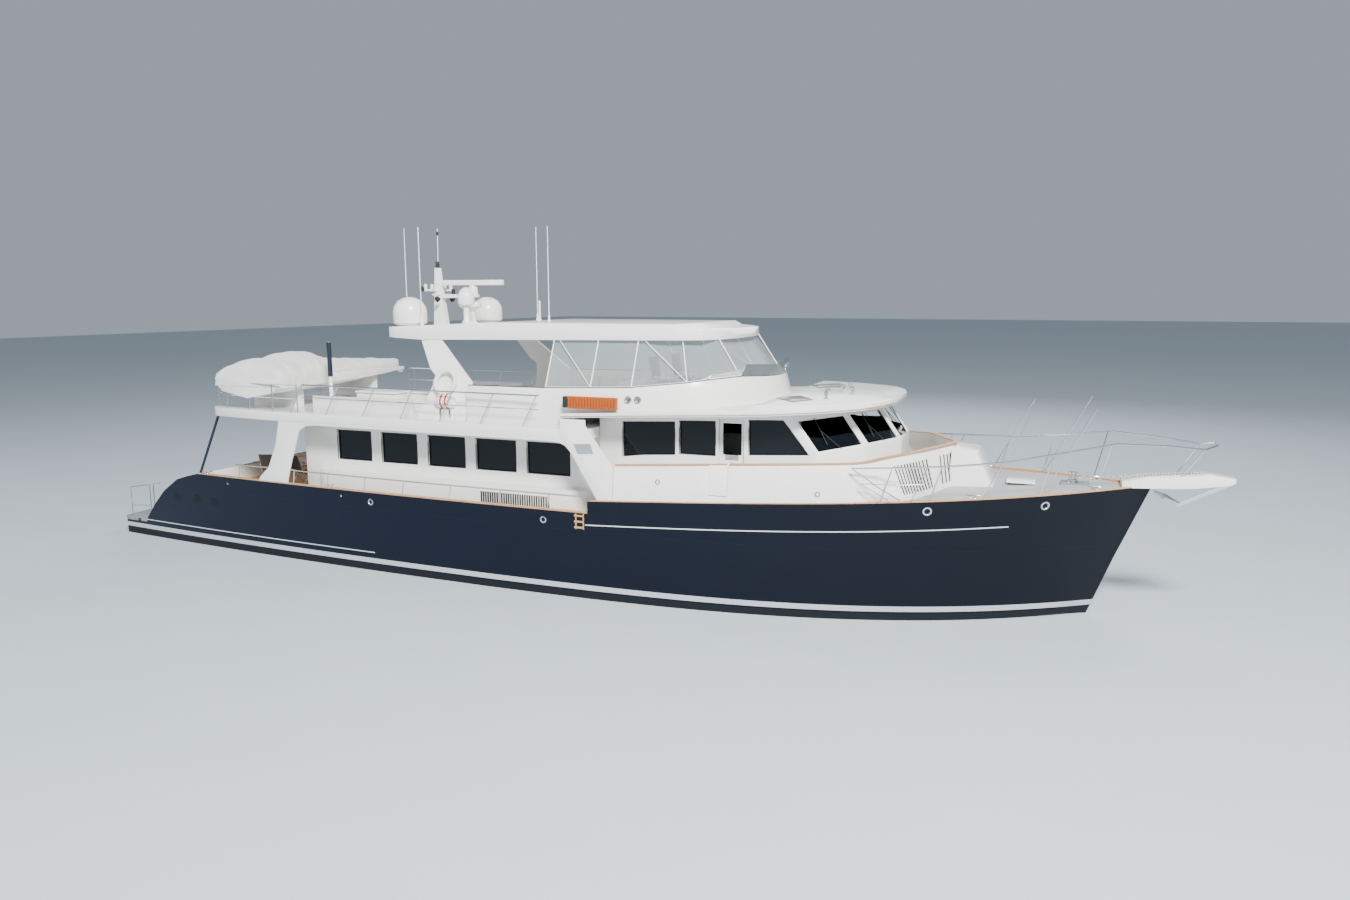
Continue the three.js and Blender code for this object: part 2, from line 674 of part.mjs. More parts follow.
// The gate is an inner plate of the bulwark, cut out and hung on its aft edge.
function makeBulwarkGate() {
  const slice = box(GATE_X[0] + CLEAR, GATE_X[1] - 18, -4000, -2400, 2762, 4000).intersect(bulwark);
  return cut(slice, bulwark.translate([0, -45, 0]));
}
place("bridge_bulwark", cut(bulwark, gateHole), "white");
placePair("bulwark_gate", makeBulwarkGate(), "white");

// ---- pilothouse ---------------------------------------------------------------------
function roofUnder(x) {
  return ROOF_AFT_Z + ROOF_SLOPE * (x - ROOF_AFT_X);
}

// Half rings of the cabin from aft to the centre of the front, each point (x, y, z).
const CABIN_BASE = [[PILOT_AFT_X, PILOT_HALF], [6600, PILOT_HALF], [7550, 1700], [8160, 650]];
const CABIN_SILL = [3600, 3720, 3850, 3900];
const CABIN_TOP = [[PILOT_AFT_X, PILOT_HALF], [5808, PILOT_HALF], [6881, 1700], [7504, 650]];

function insetHalf(points, d) {
  return points.map((p, i) => {
    const a = points[Math.max(0, i - 1)];
    const b = points[Math.min(points.length - 1, i + 1)];
    const end = i === points.length - 1;
    const next = end ? [p[0], -p[1]] : b;
    const u = new THREE.Vector2(p[0] - a[0], p[1] - a[1]).normalize();
    const v = new THREE.Vector2(next[0] - p[0], next[1] - p[1]).normalize();
    if (i === 0) {
      return [p[0] + d, p[1] - d];
    }
    const n0 = new THREE.Vector2(u.y, -u.x);
    const n1 = new THREE.Vector2(v.y, -v.x);
    const m = n0.clone().add(n1).normalize();
    const s = d / Math.max(0.4, m.dot(n0));
    return [p[0] + m.x * s, p[1] + m.y * s];
  });
}

function cabinSolid(inset, z0, topZ) {
  const lift = (half, zs) => half.map((p, i) => [p[0], p[1], zs[i]]);
  const ring = (half) => half.concat(half.slice().reverse().map((p) => [p[0], -p[1], p[2]]));
  const base = insetHalf(CABIN_BASE, inset);
  const top = insetHalf(CABIN_TOP, inset);
  return loft([
    ring(lift(base, [z0, z0, z0, z0])),
    ring(lift(base, CABIN_SILL)),
    ring(lift(top, [topZ, topZ, topZ, topZ])),
  ]);
}

function underRoof(gap) {
  return prism("y", [[0, 0], [9000, 0], [9000, roofUnder(9000) - gap], [0, roofUnder(0) - gap]], -4000, 4000);
}

const DOOR_X = [4320, 4930];
const SIDE_PANES = [
  [[1910, 3400], [2430, 3470], [3250, 3520], [3250, 4290], [1910, 4230]],
  [[3360, 3550], [4250, 3550], [4250, 4350], [3360, 4320]],
  [[5050, 3620], [6440, 3700], [5840, 4440], [5040, 4410]],
];

function frontPane(i, grow) {
  const sill = CABIN_BASE.map((p, k) => [p[0], p[1], CABIN_SILL[k]]);
  const head = [[6050, 2600, 4470], [7050, 1700, 4560], [7650, 650, 4600]];
  const a = sill[i + 1];
  const b = i < 2 ? sill[i + 2] : [a[0], -a[1], a[2]];
  const c = i < 2 ? head[i + 1] : [head[i][0], -head[i][1], head[i][2]];
  const d = head[i];
  const mix = (p, q, t) => p.map((v, k) => v + (q[k] - v) * t);
  const s = grow;
  return [
    mix(mix(a, b, s), mix(d, c, s), 0.06), mix(mix(a, b, 1 - s), mix(d, c, 1 - s), 0.06),
    mix(mix(a, b, 1 - s), mix(d, c, 1 - s), 0.94), mix(mix(a, b, s), mix(d, c, s), 0.94),
  ];
}

function makePilothouseWalls() {
  const base = BRIDGE_DECK_Z + GAP;
  let body = cabinSolid(0, base, 4800);
  body = cut(body, cabinSolid(WALL_T, base - 400, 4900).intersect(box(0, 9000, -4000, 4000, 0, 9000)));
  body = body.intersect(underRoof(GAP));
  for (const pane of SIDE_PANES) {
    body = cut(body, prism("y", pane, -2800, 2800));
  }
  body = cut(body, box(DOOR_X[0], DOOR_X[1], -2800, 2800, base + 40, 4410));
  for (let i = 0; i < 3; i += 1) {
    const quad = pad(...frontPane(i, i < 2 ? 0.07 : 0.06), 150, 150);
    body = cut(body, quad, i < 2 ? mirrorY(quad) : quad);
  }
  return cut(body, box(PILOT_AFT_X - 50, PILOT_AFT_X + 120, -2000, 2000, 2900, 4000));
}
const pilothouseWalls = makePilothouseWalls();
place("pilothouse_walls", pilothouseWalls, "white");

function makePilothouseGlass() {
  const a = WALL_T + GAP;
  let body = cut(cabinSolid(a, 3330, 4800), cabinSolid(a + GLASS_T, 3200, 4900));
  body = cut(body, box(0, 1800, -3000, 3000, 3000, 5000));
  body = cut(body, box(DOOR_X[0] - 60, DOOR_X[1] + 40, -3000, 3000, 3000, 4425));
  body = body.intersect(underRoof(12));
  return clearOf(body, pilothouseWalls);
}
place("pilothouse_glass", makePilothouseGlass(), "glass");

function makePilothouseDoor() {
  const y1 = -PILOT_HALF + WALL_T + GLASS_T + CLEAR + 2;
  const leaf = box(DOOR_X[0] - 25, DOOR_X[1] + 25, y1, y1 + 38, BRIDGE_DECK_Z + CLEAR + GAP, 4440);
  return cut(leaf, box(DOOR_X[0] + 80, DOOR_X[1] - 80, y1 - 20, y1 + 60, 3580, 4310));
}
placePair("pilothouse_door", makePilothouseDoor(), "white");

function makeHelmConsole() {
  const side = [[6150, BRIDGE_DECK_Z + GAP], [6900, BRIDGE_DECK_Z + GAP], [6900, 3500], [6650, 3560], [6150, 3250]];
  return prism("y", side, -1150, 1150);
}
place("helm_console", makeHelmConsole(), "dark");

// ---- pilothouse roof with its brow ----------------------------------------------------
const ROOF_HALF = [[ROOF_AFT_X, 3290], [5000, 3320], [5660, 3250], [6600, 2900], [7250, 2480], [7570, 2200],
  [7900, 1500], [8040, 750]];
function roofTop(x) {
  return along([[600, roofUnder(600) + ROOF_T], [5000, roofUnder(5000) + ROOF_T], [5400, BROW_Z], [8070, BROW_Z + 10]], x);
}

function makeRoof() {
  const side = [[ROOF_AFT_X, ROOF_AFT_Z], [8070, roofUnder(8070)], [8070, BROW_Z + 10], [5400, BROW_Z],
    [5000, roofTop(5000)], [ROOF_AFT_X, roofTop(ROOF_AFT_X)]];
  const slab = prism("y", side, -3400, 3400).intersect(prism("z", bothSides(ROOF_HALF), 4000, 5200));
  return join(slab, box(ROOF_AFT_X, ROOF_AFT_X + 80, -2950, 2950, BOAT_DECK_Z + GAP, roofUnder(600) + 40));
}
place("pilothouse_roof", makeRoof(), "white");

// ---- flybridge ----------------------------------------------------------------------
const COAMING = {
  foot: [[-2180, 3000], [0, 3020], [1200, 3190], [2250, 3180], [3560, 2930], [4300, 2500], [4850, 1850], [5300, 1000], [5500, 300]],
  top: [[-2180, 2900, 4980], [0, 2900, 4990], [1200, 2890, 5030], [2250, 2870, 5070], [3560, 2640, 5200],
    [4100, 2280, 5270], [4550, 1700, 5310], [4900, 900, 5270], [5020, 280, 5250]],
};
const COAMING_T = 110;

function coamingStations(foot, top, t, zFoot) {
  const pair = foot.map((p, i) => [[p[0], p[1], zFoot(p[0])], top[i]]);
  const back = pair.slice().reverse().map(([a, b]) => [[a[0], -a[1], a[2]], [b[0], -b[1], b[2]]]);
  const all = pair.concat(back);
  return all.map(([a, b], i) => {
    const p = all[Math.max(0, i - 1)][1];
    const q = all[Math.min(all.length - 1, i + 1)][1];
    const n = new THREE.Vector2(q[1] - p[1], p[0] - q[0]).normalize();
    return { a, b, n, inner: (v, d) => [v[0] + n.x * d, v[1] + n.y * d, v[2]] };
  });
}

function makeCoaming() {
  const st = coamingStations(COAMING.foot, COAMING.top, COAMING_T, () => 4000);
  const wall = sweepWall(st.map((s) => [s.a, s.inner(s.b, -COAMING_T / 2), s.inner(s.b, COAMING_T / 2), s.inner(s.a, COAMING_T)]));
  const below = [[-3000, 1000], [-3000, BOAT_DECK_Z + GAP], [599, BOAT_DECK_Z + GAP], [599, roofTop(600) + GAP]];
  const roof = [5000, 5400, 9000].map((x) => [x, roofTop(x) + GAP]);
  return cut(wall, prism("y", [...below, ...roof, [9000, 1000]], -4000, 4000));
}
place("flybridge_coaming", makeCoaming(), "white");

function makeFlyScreen() {
  const st = coamingStations(COAMING.foot, COAMING.top, COAMING_T, () => 4000).slice(6, 12);
  const bottom = (s) => s.inner(s.b, -34).map((v, k) => v + (k === 2 ? GAP + 8 : 0));
  return sweepWall(st.map((s) => {
    const foot = bottom(s);
    const head = [foot[0] + 150, foot[1] * 1.02, foot[2] + 290];
    return [foot, head, [head[0] - GLASS_T, head[1], head[2]], [foot[0] - GLASS_T, foot[1], foot[2]]];
  }));
}
place("flybridge_screen", makeFlyScreen(), "glass");

function makeArchLeg() {
  const side = [[-3960, 6055], [-3530, 5340], [-3320, 5160], [-3400, 4800], [-3700, BOAT_DECK_Z + GAP],
    [-2230, BOAT_DECK_Z + GAP], [-2230, 5020], [-3370, 6055]];
  const flat = prism("y", side, -45, 45);
  const lean = 0.36; // inward offset per height
  return flat.transform([1, 0, 0, 0, 0, 1, 0, 0, 0, lean, 1, 0, 0, -2960 - lean * BOAT_DECK_Z, 0, 1]);
}
const archLeg = makeArchLeg();
placePair("arch_leg", archLeg, "white");

const HARDTOP_HALF = [[-5150, 1900], [-5000, 2250], [-4700, 2350], [-3900, 2340], [-3200, 2220], [3000, 2180],
  [3700, 1980], [4020, 1500], [4140, 700]];
function hardtopUnder(x) {
  return along([[-5200, 6120], [-3900, 6060], [4140, 6160]], x);
}

function makeHardtop() {
  const side = [[-5150, 6118], [-3900, 6060], [4140, 6160], [4140, 6250], [4050, 6380], [3370, 6420], [3160, 6520],
    [-1900, 6520], [-5150, 6370]];
  let top = prism("y", side, -2400, 2400).intersect(prism("z", bothSides(HARDTOP_HALF), 5900, 6700));
  top = join(top, rod([-2150, 600, 6500], [-2150, 600, 9060], 16, 8, 6), rod([-900, -1000, 6500], [-900, -1000, 8950], 16, 8, 6));
  return join(top, rod([-4960, -1500, 6300], [-4960, -1500, 8960], 16, 8, 6), rod([-2150, 720, 6500], [-2150, 720, 7050], 30, 30, 8));
}
const hardtop = makeHardtop();
place("hardtop", hardtop, "white");

// ---- enclosure of the flybridge: tube frame and clear curtains --------------------------
const RIM = coamingStations(COAMING.foot, COAMING.top, COAMING_T, () => 4000).slice(1, -1);
function curtainHead(i) {
  const table = [[0, 2130], [2250, 2100], [3400, 1900]];
  const b = RIM[i].b;
  const side = Math.sign(b[1]);
  const x = b[0] > 4000 ? 4010 - (5020 - b[0]) * 0.12 : b[0] > 3000 ? b[0] - 380 : b[0] - 120;
  const half = b[0] > 4000 ? Math.min(Math.abs(b[1]) * 0.95, 1650) : along(table, x);
  return [x, side * half, hardtopUnder(x) - GAP];
}

function makeEnclosureFrame() {
  const foot = (s) => s.inner(s.b, 26).map((v, k) => v + (k === 2 ? 16 : 0));
  let frame = bar(RIM.map(foot), 14);
  const n = RIM.length - 1;
  for (const i of [0, 1, 2, 3, 5, n, n - 1, n - 2, n - 3, n - 5]) {
    const h = curtainHead(i);
    frame = join(frame, bar([foot(RIM[i]), [h[0], h[1], h[2] + 60]], 16));
  }
  for (const [i, j] of [[0, 1], [2, 3]]) {
    for (const e of [[i, j], [n - i, n - j]]) {
      const h = curtainHead(e[0]);
      frame = join(frame, bar([foot(RIM[e[1]]), [h[0] + 90, h[1], h[2] + 60]], 12));
    }
  }
  return clearOf(frame, hardtop);
}
const enclosureFrame = makeEnclosureFrame();
place("enclosure_frame", enclosureFrame, "steel");

function makeGlazing() {
  return sweepWall(RIM.map((s, i) => {
    const foot = s.inner(s.b, 44);
    const h = curtainHead(i);
    const head = [h[0] + s.n.x * 34, h[1] + s.n.y * 34, h[2] - 14];
    const lift = (p) => [p[0], p[1], p[2] + 4];
    const deep = (p) => [p[0] + s.n.x * 8, p[1] + s.n.y * 8, p[2]];
    return [lift(foot), head, deep(head), lift(deep(foot))];
  }));
}
place("enclosure_glazing", clearOf(makeGlazing(), enclosureFrame), "vinyl");

function makeFlyConsole() {
  const z = roofTop(3300) + GAP + 30;
  const side = [[3150, z], [3900, z], [3900, 5220], [3650, 5260], [3150, 5020]];
  const body = prism("y", side, -1500, 1500);
  const floor = [[0, 1000], [9000, 1000], [9000, roofTop(9000)], [5000, roofTop(5000) + GAP], [600, roofTop(600) + GAP]];
  return cut(join(body, box(3200, 3850, -1450, 1450, 4400, z + 10)), prism("y", floor, -3000, 3000));
}
place("flybridge_console", makeFlyConsole(), "white");

function makeSettee() {
  const z = BOAT_DECK_Z + GAP;
  let body = box(-1900, 400, 1750, 2500, z, z + 420);
  body = join(body, box(-1900, 400, 2380, 2500, z, z + 800), box(-300, 400, 600, 1800, z, z + 420));
  return join(body, box(280, 400, 600, 2400, z, z + 800));
}
place("flybridge_settee", makeSettee(), "cushion");

// ---- hardtop gear -------------------------------------------------------------------
const MAST_X = -4900;
const SCANNER_X = -3850;
const SCANNER_HALF = 970;
function hardtopTop(x) {
  return along([[-5150, 6370], [-1900, 6520]], x);
}

function makeMast() {
  const side = [[-5130, 6340], [-4720, 6370], [-4830, 7120], [-3700, 7150], [-3700, 7210], [-4860, 7240],
    [-4940, MAST_TOP_Z], [-5040, MAST_TOP_Z]];
  const mast = join(prism("y", side, -90, 90), rod([SCANNER_X, 0, 7150], [SCANNER_X, 0, 7440], 150, 120, 16));
  return clearOf(mast, hardtop);
}
place("radar_mast", makeMast(), "white");
const scannerBar = prism("x", [[-70, 7480], [70, 7480], [60, 7620], [-60, 7620]], SCANNER_X - SCANNER_HALF, SCANNER_X + SCANNER_HALF);
place("radar_scanner", join(scannerBar, rod([SCANNER_X, 0, 7447], [SCANNER_X, 0, 7500], 90, 90, 16)), "white");

function makeDome() {
  const profile = [[0, 0], [300, 0], [330, 60], [440, 130], [440, 420], [410, 560], [320, 690], [170, 780], [0, 810]];
  const g = new THREE.LatheGeometry(profile.map((p) => new THREE.Vector2(...p)), 24);
  g.rotateX(Math.PI / 2);
  const dome = toSolid(g);
  return dome.volume() > 0 ? dome : toSolid(flip(g));
}
const domeAt = makeDome().translate([-4600, -1870, 6350]);
placePair("satellite_dome", clearOf(domeAt, hardtop), "white");

// ---- davit for the tender -------------------------------------------------------------
function makeDavitColumn() {
  const pivotY = DAVIT_Y + 180;
  let body = join(
    rod([DAVIT_X, DAVIT_Y, BOAT_DECK_Z + CLEAR], [DAVIT_X, DAVIT_Y, BOAT_DECK_Z + 60], 150, 150, 24),
    rod([DAVIT_X, DAVIT_Y, BOAT_DECK_Z + 30], [DAVIT_X, DAVIT_Y, 5920], 55, 50, 16),
    box(DAVIT_X - 25, DAVIT_X + 25, DAVIT_Y, pivotY + 50, DAVIT_PIVOT_Z - 60, DAVIT_PIVOT_Z + 60),
  );
  return body;
}

function makeDavitBoom() {
  const y0 = DAVIT_Y + 180;
  const outline = [[y0 - 50, -70], [y0 + 400, -90], [y0 + BOOM_LENGTH, -50], [y0 + BOOM_LENGTH, 50], [y0 + 400, 90], [y0 - 50, 70]];
  const side = outline.map(([y, z]) => [y, DAVIT_PIVOT_Z + z]);
  let body = prism("x", side, DAVIT_X - 75, DAVIT_X + 75);
  body = cut(body, box(DAVIT_X - 31, DAVIT_X + 31, y0 - 200, y0 + 90, DAVIT_PIVOT_Z - 200, DAVIT_PIVOT_Z + 200));
  return join(body, box(DAVIT_X - 40, DAVIT_X + 40, y0 + BOOM_LENGTH - 160, y0 + BOOM_LENGTH - 20, DAVIT_PIVOT_Z - 120, DAVIT_PIVOT_Z));
}
place("davit_column", makeDavitColumn(), "white");
place("davit_boom", makeDavitBoom(), "white");

// ---- foredeck -----------------------------------------------------------------------
function makeAnchorPlatform() {
  const side = [[12900, 3020], [13900, 3062], [14300, 3090], [15000, 3190], [HALF_LENGTH, 3230], [HALF_LENGTH, 3330],
    [14600, 3400], [13400, 3260], [12900, 3160]];
  const half = [[12900, 360], [14000, 330], [14900, 240], [HALF_LENGTH, 160]];
  const body = prism("y", side, -600, 600).intersect(prism("z", bothSides(half), 2900, 3600));
  const slot = box(14500, 15300, -45, 45, 3000, 3290);
  return clearOf(cut(body, slot), hull);
}
const anchorPlatform = makeAnchorPlatform();
place("anchor_platform", anchorPlatform, "white");

function makeAnchor() {
  const shank = prism("y", [[14020, 2700], [14110, 2640], [15060, 3170], [15010, 3240]], -25, 25);
  const fluke = loft([
    [[14060, -20, 2650], [14110, -20, 2700], [14060, -60, 2720], [14010, -60, 2680]],
    [[13760, -40, 2840], [13800, -40, 2880], [13760, -250, 2860], [13720, -250, 2820]],
    [[13560, -30, 2930], [13580, -30, 2950], [13570, -90, 2945], [13550, -90, 2925]],
  ]);
  const crown = box(14000, 14110, -80, 80, 2640, 2720);
  return clearOf(join(shank, crown, fluke, mirrorY(fluke)), anchorPlatform, hull);
}
place("anchor", makeAnchor(), "steel");

const WINDLASS_X = 11900;
const windlassZ = sheerZ(11700) + 60;
const windlassBase = join(box(11650, 12250, -180, 180, 2900, windlassZ), rod([WINDLASS_X, 0, 2900], [WINDLASS_X, 0, windlassZ + 20], 130, 130, 16));
place("windlass_base", clearOf(windlassBase, hull), "steel");
place("windlass_drum", join(rod([WINDLASS_X, 0, windlassZ + 26], [WINDLASS_X, 0, windlassZ + 60], 110, 110, 20),
  rod([WINDLASS_X, 0, windlassZ + 50], [WINDLASS_X, 0, windlassZ + 200], 70, 80, 20),
  rod([WINDLASS_X, 0, windlassZ + 195], [WINDLASS_X, 0, windlassZ + 230], 100, 100, 20)), "steel");

function makeHatch() {
  return box(10500, 11120, -310, 310, HATCH_Z, HATCH_Z + 55);
}
place("foredeck_hatch", makeHatch(), "white");

function makeBowRail() {
  const top = [[7450, 3000, 3530], [8400, 2820, 3575], [9300, 2580, 3620], [10480, 2090, 3700], [11500, 1560, 3860],
    [12700, 1060, 4080], [13700, 700, 4040], [14440, 450, 3970], [14700, 190, 4040]];
  const star = top.map(([x, y, z]) => [x, -y, z]);
  let rail = bar(star, RAIL_R);
  const post = (x, y, foot) => bar([foot, [x, -y, along(top.map((p) => [p[0], p[2]]), x)]], 15);
  const feet = [[8300, 2838], [9300, 2580], [10480, 2090], [11500, 1560], [12620, 1092]];
  for (const [x, y] of feet) {
    const fx = x - 260;
    rail = join(rail, post(x, y, [fx, -(sheerHalf(fx) - 70), sheerZ(fx) - 40]));
  }
  rail = join(rail, post(14440, 450, [13980, -290, 3250]));
  for (const [a, b] of [[[10060, -2082, 2850], [10980, -2030, 4670]], [[11290, -1487, 2950], [12250, -1403, 4850]]]) {
    rail = join(rail, bar([a, b], 15));
  }
  return clearOf(rail, hull, anchorPlatform);
}
placePair("bow_rail", makeBowRail(), "steel");

export default group;
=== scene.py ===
import math

import bmesh
import bpy
import numpy as np
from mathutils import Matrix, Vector


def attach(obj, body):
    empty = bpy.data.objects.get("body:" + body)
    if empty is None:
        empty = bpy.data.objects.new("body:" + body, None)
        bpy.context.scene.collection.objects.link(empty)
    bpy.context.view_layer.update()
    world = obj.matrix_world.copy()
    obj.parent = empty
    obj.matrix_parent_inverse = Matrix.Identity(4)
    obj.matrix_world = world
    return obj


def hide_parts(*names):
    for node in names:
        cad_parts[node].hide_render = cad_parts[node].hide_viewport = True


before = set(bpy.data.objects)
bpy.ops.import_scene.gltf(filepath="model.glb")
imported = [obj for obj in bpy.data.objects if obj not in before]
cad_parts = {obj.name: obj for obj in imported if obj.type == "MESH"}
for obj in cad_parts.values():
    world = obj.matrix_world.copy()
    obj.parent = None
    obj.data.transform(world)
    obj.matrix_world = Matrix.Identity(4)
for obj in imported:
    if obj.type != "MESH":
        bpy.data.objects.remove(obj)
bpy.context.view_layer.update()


# ---- camera, light and floor ---------------------------------------------------------
# The yacht is seen from off her starboard bow quarter, from a little above the boat deck.
# A pale floor stands in for the sea at the waterline, under wide soft lights.

eye = Vector((11.352, -23.0369, 7.15317))
yaw, pitch = math.radians(21.6223), math.radians(9.1138)
ahead = Vector((-math.sin(yaw) * math.cos(pitch), math.cos(yaw) * math.cos(pitch), -math.sin(pitch)))
camera_data = bpy.data.cameras.new("camera")
camera_data.sensor_width = 36.0
camera_data.lens = 953.738 / 1350 * 36
camera_data.clip_end = 500
camera = bpy.data.objects.new("camera", camera_data)
camera.location = eye
camera.rotation_euler = ahead.to_track_quat("-Z", "Y").to_euler()
bpy.context.scene.collection.objects.link(camera)
bpy.context.scene.camera = camera


def linear(hex_colour):
    """An sRGB hex colour as a linear one: each channel below the toe is divided, above it
    is raised to 2.4."""
    c = np.array([int(hex_colour[i : i + 2], 16) for i in (1, 3, 5)]) / 255
    low = c <= 0.04045
    return (*np.where(low, c / 12.92, ((c + 0.055) / 1.055) ** 2.4).tolist(), 1.0)


def add_node(tree, kind, settings=None, **links):
    """Adds one node with its settings; each link names an input and gives a value or the
    socket that feeds it (an underscore stands for a space, in_0 for input number 0)."""
    node = tree.nodes.new(kind)
    for key, value in (settings or {}).items():
        setattr(node, key, value)
    for key, value in links.items():
        socket = node.inputs[int(key[3:])] if key.startswith("in_") else node.inputs[key.replace("_", " ")]
        if isinstance(value, bpy.types.NodeSocket):
            tree.links.new(value, socket)
        else:
            socket.default_value = value
    return node


def new_material(name, **values):
    """A material with one principled shader, its constant values set on the shader's own
    sockets. Gives back the material, its node tree, the shader and the object coordinates."""
    material = bpy.data.materials.new(name)
    material.use_nodes = True
    tree = material.node_tree
    shader = tree.nodes["Principled BSDF"]
    for key, value in values.items():
        shader.inputs[key.replace("_", " ")].default_value = value
    place = tree.nodes.new("ShaderNodeTexCoord").outputs["Object"]
    return material, tree, shader, place


def mesh_piece(name, points, faces, body, material, smooth=True):
    """Puts a grid of points and its faces into an object that rides on a body."""
    mesh = bpy.data.meshes.new(name)
    mesh.from_pydata(np.asarray(points).reshape(-1, 3).tolist(), [], np.asarray(faces).tolist())
    mesh.polygons.foreach_set("use_smooth", np.full(len(mesh.polygons), smooth))
    mesh.materials.append(material)
    piece = bpy.data.objects.new(name, mesh)
    bpy.context.scene.collection.objects.link(piece)
    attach(piece, body)
    return piece


plaster, tree, shader, place = new_material("pale_floor", Roughness=0.75)
grain = add_node(tree, "ShaderNodeTexNoise", Vector=place, Scale=0.6, Detail=3.0)
tone = add_node(tree, "ShaderNodeMix", {"data_type": "RGBA"}, in_0=grain.outputs[0],
                in_6=linear("#b4bec6"), in_7=linear("#bac4cb"))
tree.links.new(tone.outputs[2], shader.inputs["Base Color"])
floor_mesh = bpy.data.meshes.new("floor")
floor_mesh.from_pydata([(-160, -120, 0), (160, -120, 0), (160, 300, 0), (-160, 300, 0)], [], [(0, 1, 2, 3)])
floor_mesh.materials.append(plaster)
floor = bpy.data.objects.new("floor", floor_mesh)
bpy.context.scene.collection.objects.link(floor)

world = bpy.data.worlds.new("studio")
world.use_nodes = True
world.node_tree.nodes["Background"].inputs["Color"].default_value = linear("#cfdbe6")
world.node_tree.nodes["Background"].inputs["Strength"].default_value = 0.55
bpy.context.scene.world = world
for name, spot, size, power in [
    ("key", (22, -30, 34), 9, 56000),
    ("fill", (-34, -20, 22), 24, 4500),
    ("back", (4, 34, 26), 26, 7000),
]:
    lamp = bpy.data.lights.new(name, "AREA")
    lamp.size = size
    lamp.energy = power
    holder = bpy.data.objects.new(name, lamp)
    holder.location = spot
    holder.rotation_euler = (Vector((0, 0, 2)) - Vector(spot)).to_track_quat("-Z", "Y").to_euler()
    bpy.context.scene.collection.objects.link(holder)


# ---- hull ----------------------------------------------------------------------------
# The hull is glass-fibre laminate with a polished navy gelcoat, a pale boot stripe over black
# antifouling, and a thin white cove line along the forward topsides. Its bulwarks are white
# inside, the decks are laid teak aft and sanded grey non-skid with teak margins forward.

gelcoat, tree, shader, place = new_material("polished_navy_gelcoat", IOR=1.45, Roughness=0.16)
shader.inputs["Coat Weight"].default_value = 0.12
shader.inputs["Specular IOR Level"].default_value = 0.22
shader.inputs["Coat Roughness"].default_value = 0.05
split = add_node(tree, "ShaderNodeSeparateXYZ", Vector=place)
x, y, z = split.outputs
facing = add_node(tree, "ShaderNodeSeparateXYZ", Vector=tree.nodes.new("ShaderNodeNewGeometry").outputs["Normal"])
side = add_node(tree, "ShaderNodeMath", {"operation": "SIGN"}, in_0=y).outputs[0]
half = add_node(tree, "ShaderNodeMath", {"operation": "ABSOLUTE"}, in_0=y).outputs[0]
outward = add_node(tree, "ShaderNodeMath", {"operation": "MULTIPLY"}, in_0=side,
                   in_1=facing.outputs[1]).outputs[0]
# navy, a touch bluer aft than forward, with faint waves of laminate print
wave = add_node(tree, "ShaderNodeTexNoise", Vector=place, Scale=1.7, Detail=2.0).outputs[0]
length = add_node(tree, "ShaderNodeMapRange", Value=x, From_Min=-15.0, From_Max=13.5).outputs[0]
navy = add_node(tree, "ShaderNodeMix", {"data_type": "RGBA"}, in_0=length, in_6=linear("#040d24"),
                in_7=linear("#020611"))
tint = add_node(tree, "ShaderNodeMix", {"data_type": "RGBA", "blend_type": "SOFT_LIGHT"}, in_0=0.12,
                in_6=navy.outputs[2])
tree.links.new(wave, tint.inputs[7])
colour = tint.outputs[2]


def between(tree, value, low, high):
    """One where the value lies between two numbers: above the low and below the high."""
    above = add_node(tree, "ShaderNodeMath", {"operation": "GREATER_THAN"}, in_0=value, in_1=low).outputs[0]
    below = add_node(tree, "ShaderNodeMath", {"operation": "LESS_THAN"}, in_0=value, in_1=high).outputs[0]
    return add_node(tree, "ShaderNodeMath", {"operation": "MULTIPLY"}, in_0=above, in_1=below).outputs[0]


def teak_colour(tree, place, across, width):
    """Teak planks: long grain noise stretched along X and a dark seam 5 mm wide every width
    metres across."""
    stretch = add_node(tree, "ShaderNodeMapping", Vector=place, Scale=(1.2, 26.0, 26.0))
    grain = add_node(tree, "ShaderNodeTexNoise", Vector=stretch.outputs[0], Scale=3.0, Detail=5.0,
                     Roughness=0.6)
    ramp = tree.nodes.new("ShaderNodeValToRGB")
    ramp.color_ramp.elements[0].position, ramp.color_ramp.elements[0].color = 0.3, linear("#a0754a")
    ramp.color_ramp.elements[1].position, ramp.color_ramp.elements[1].color = 0.75, linear("#cda679")
    tree.links.new(grain.outputs[0], ramp.inputs[0])
    count = add_node(tree, "ShaderNodeMath", {"operation": "DIVIDE"}, in_0=across, in_1=width).outputs[0]
    part = add_node(tree, "ShaderNodeMath", {"operation": "FRACT"}, in_0=count).outputs[0]
    seam = add_node(tree, "ShaderNodeMath", {"operation": "LESS_THAN"}, in_0=part,
                    in_1=0.005 / width).outputs[0]
    return add_node(tree, "ShaderNodeMix", {"data_type": "RGBA"}, in_6=ramp.outputs[0],
                    in_7=linear("#2a211b"), in_0=seam).outputs[2]


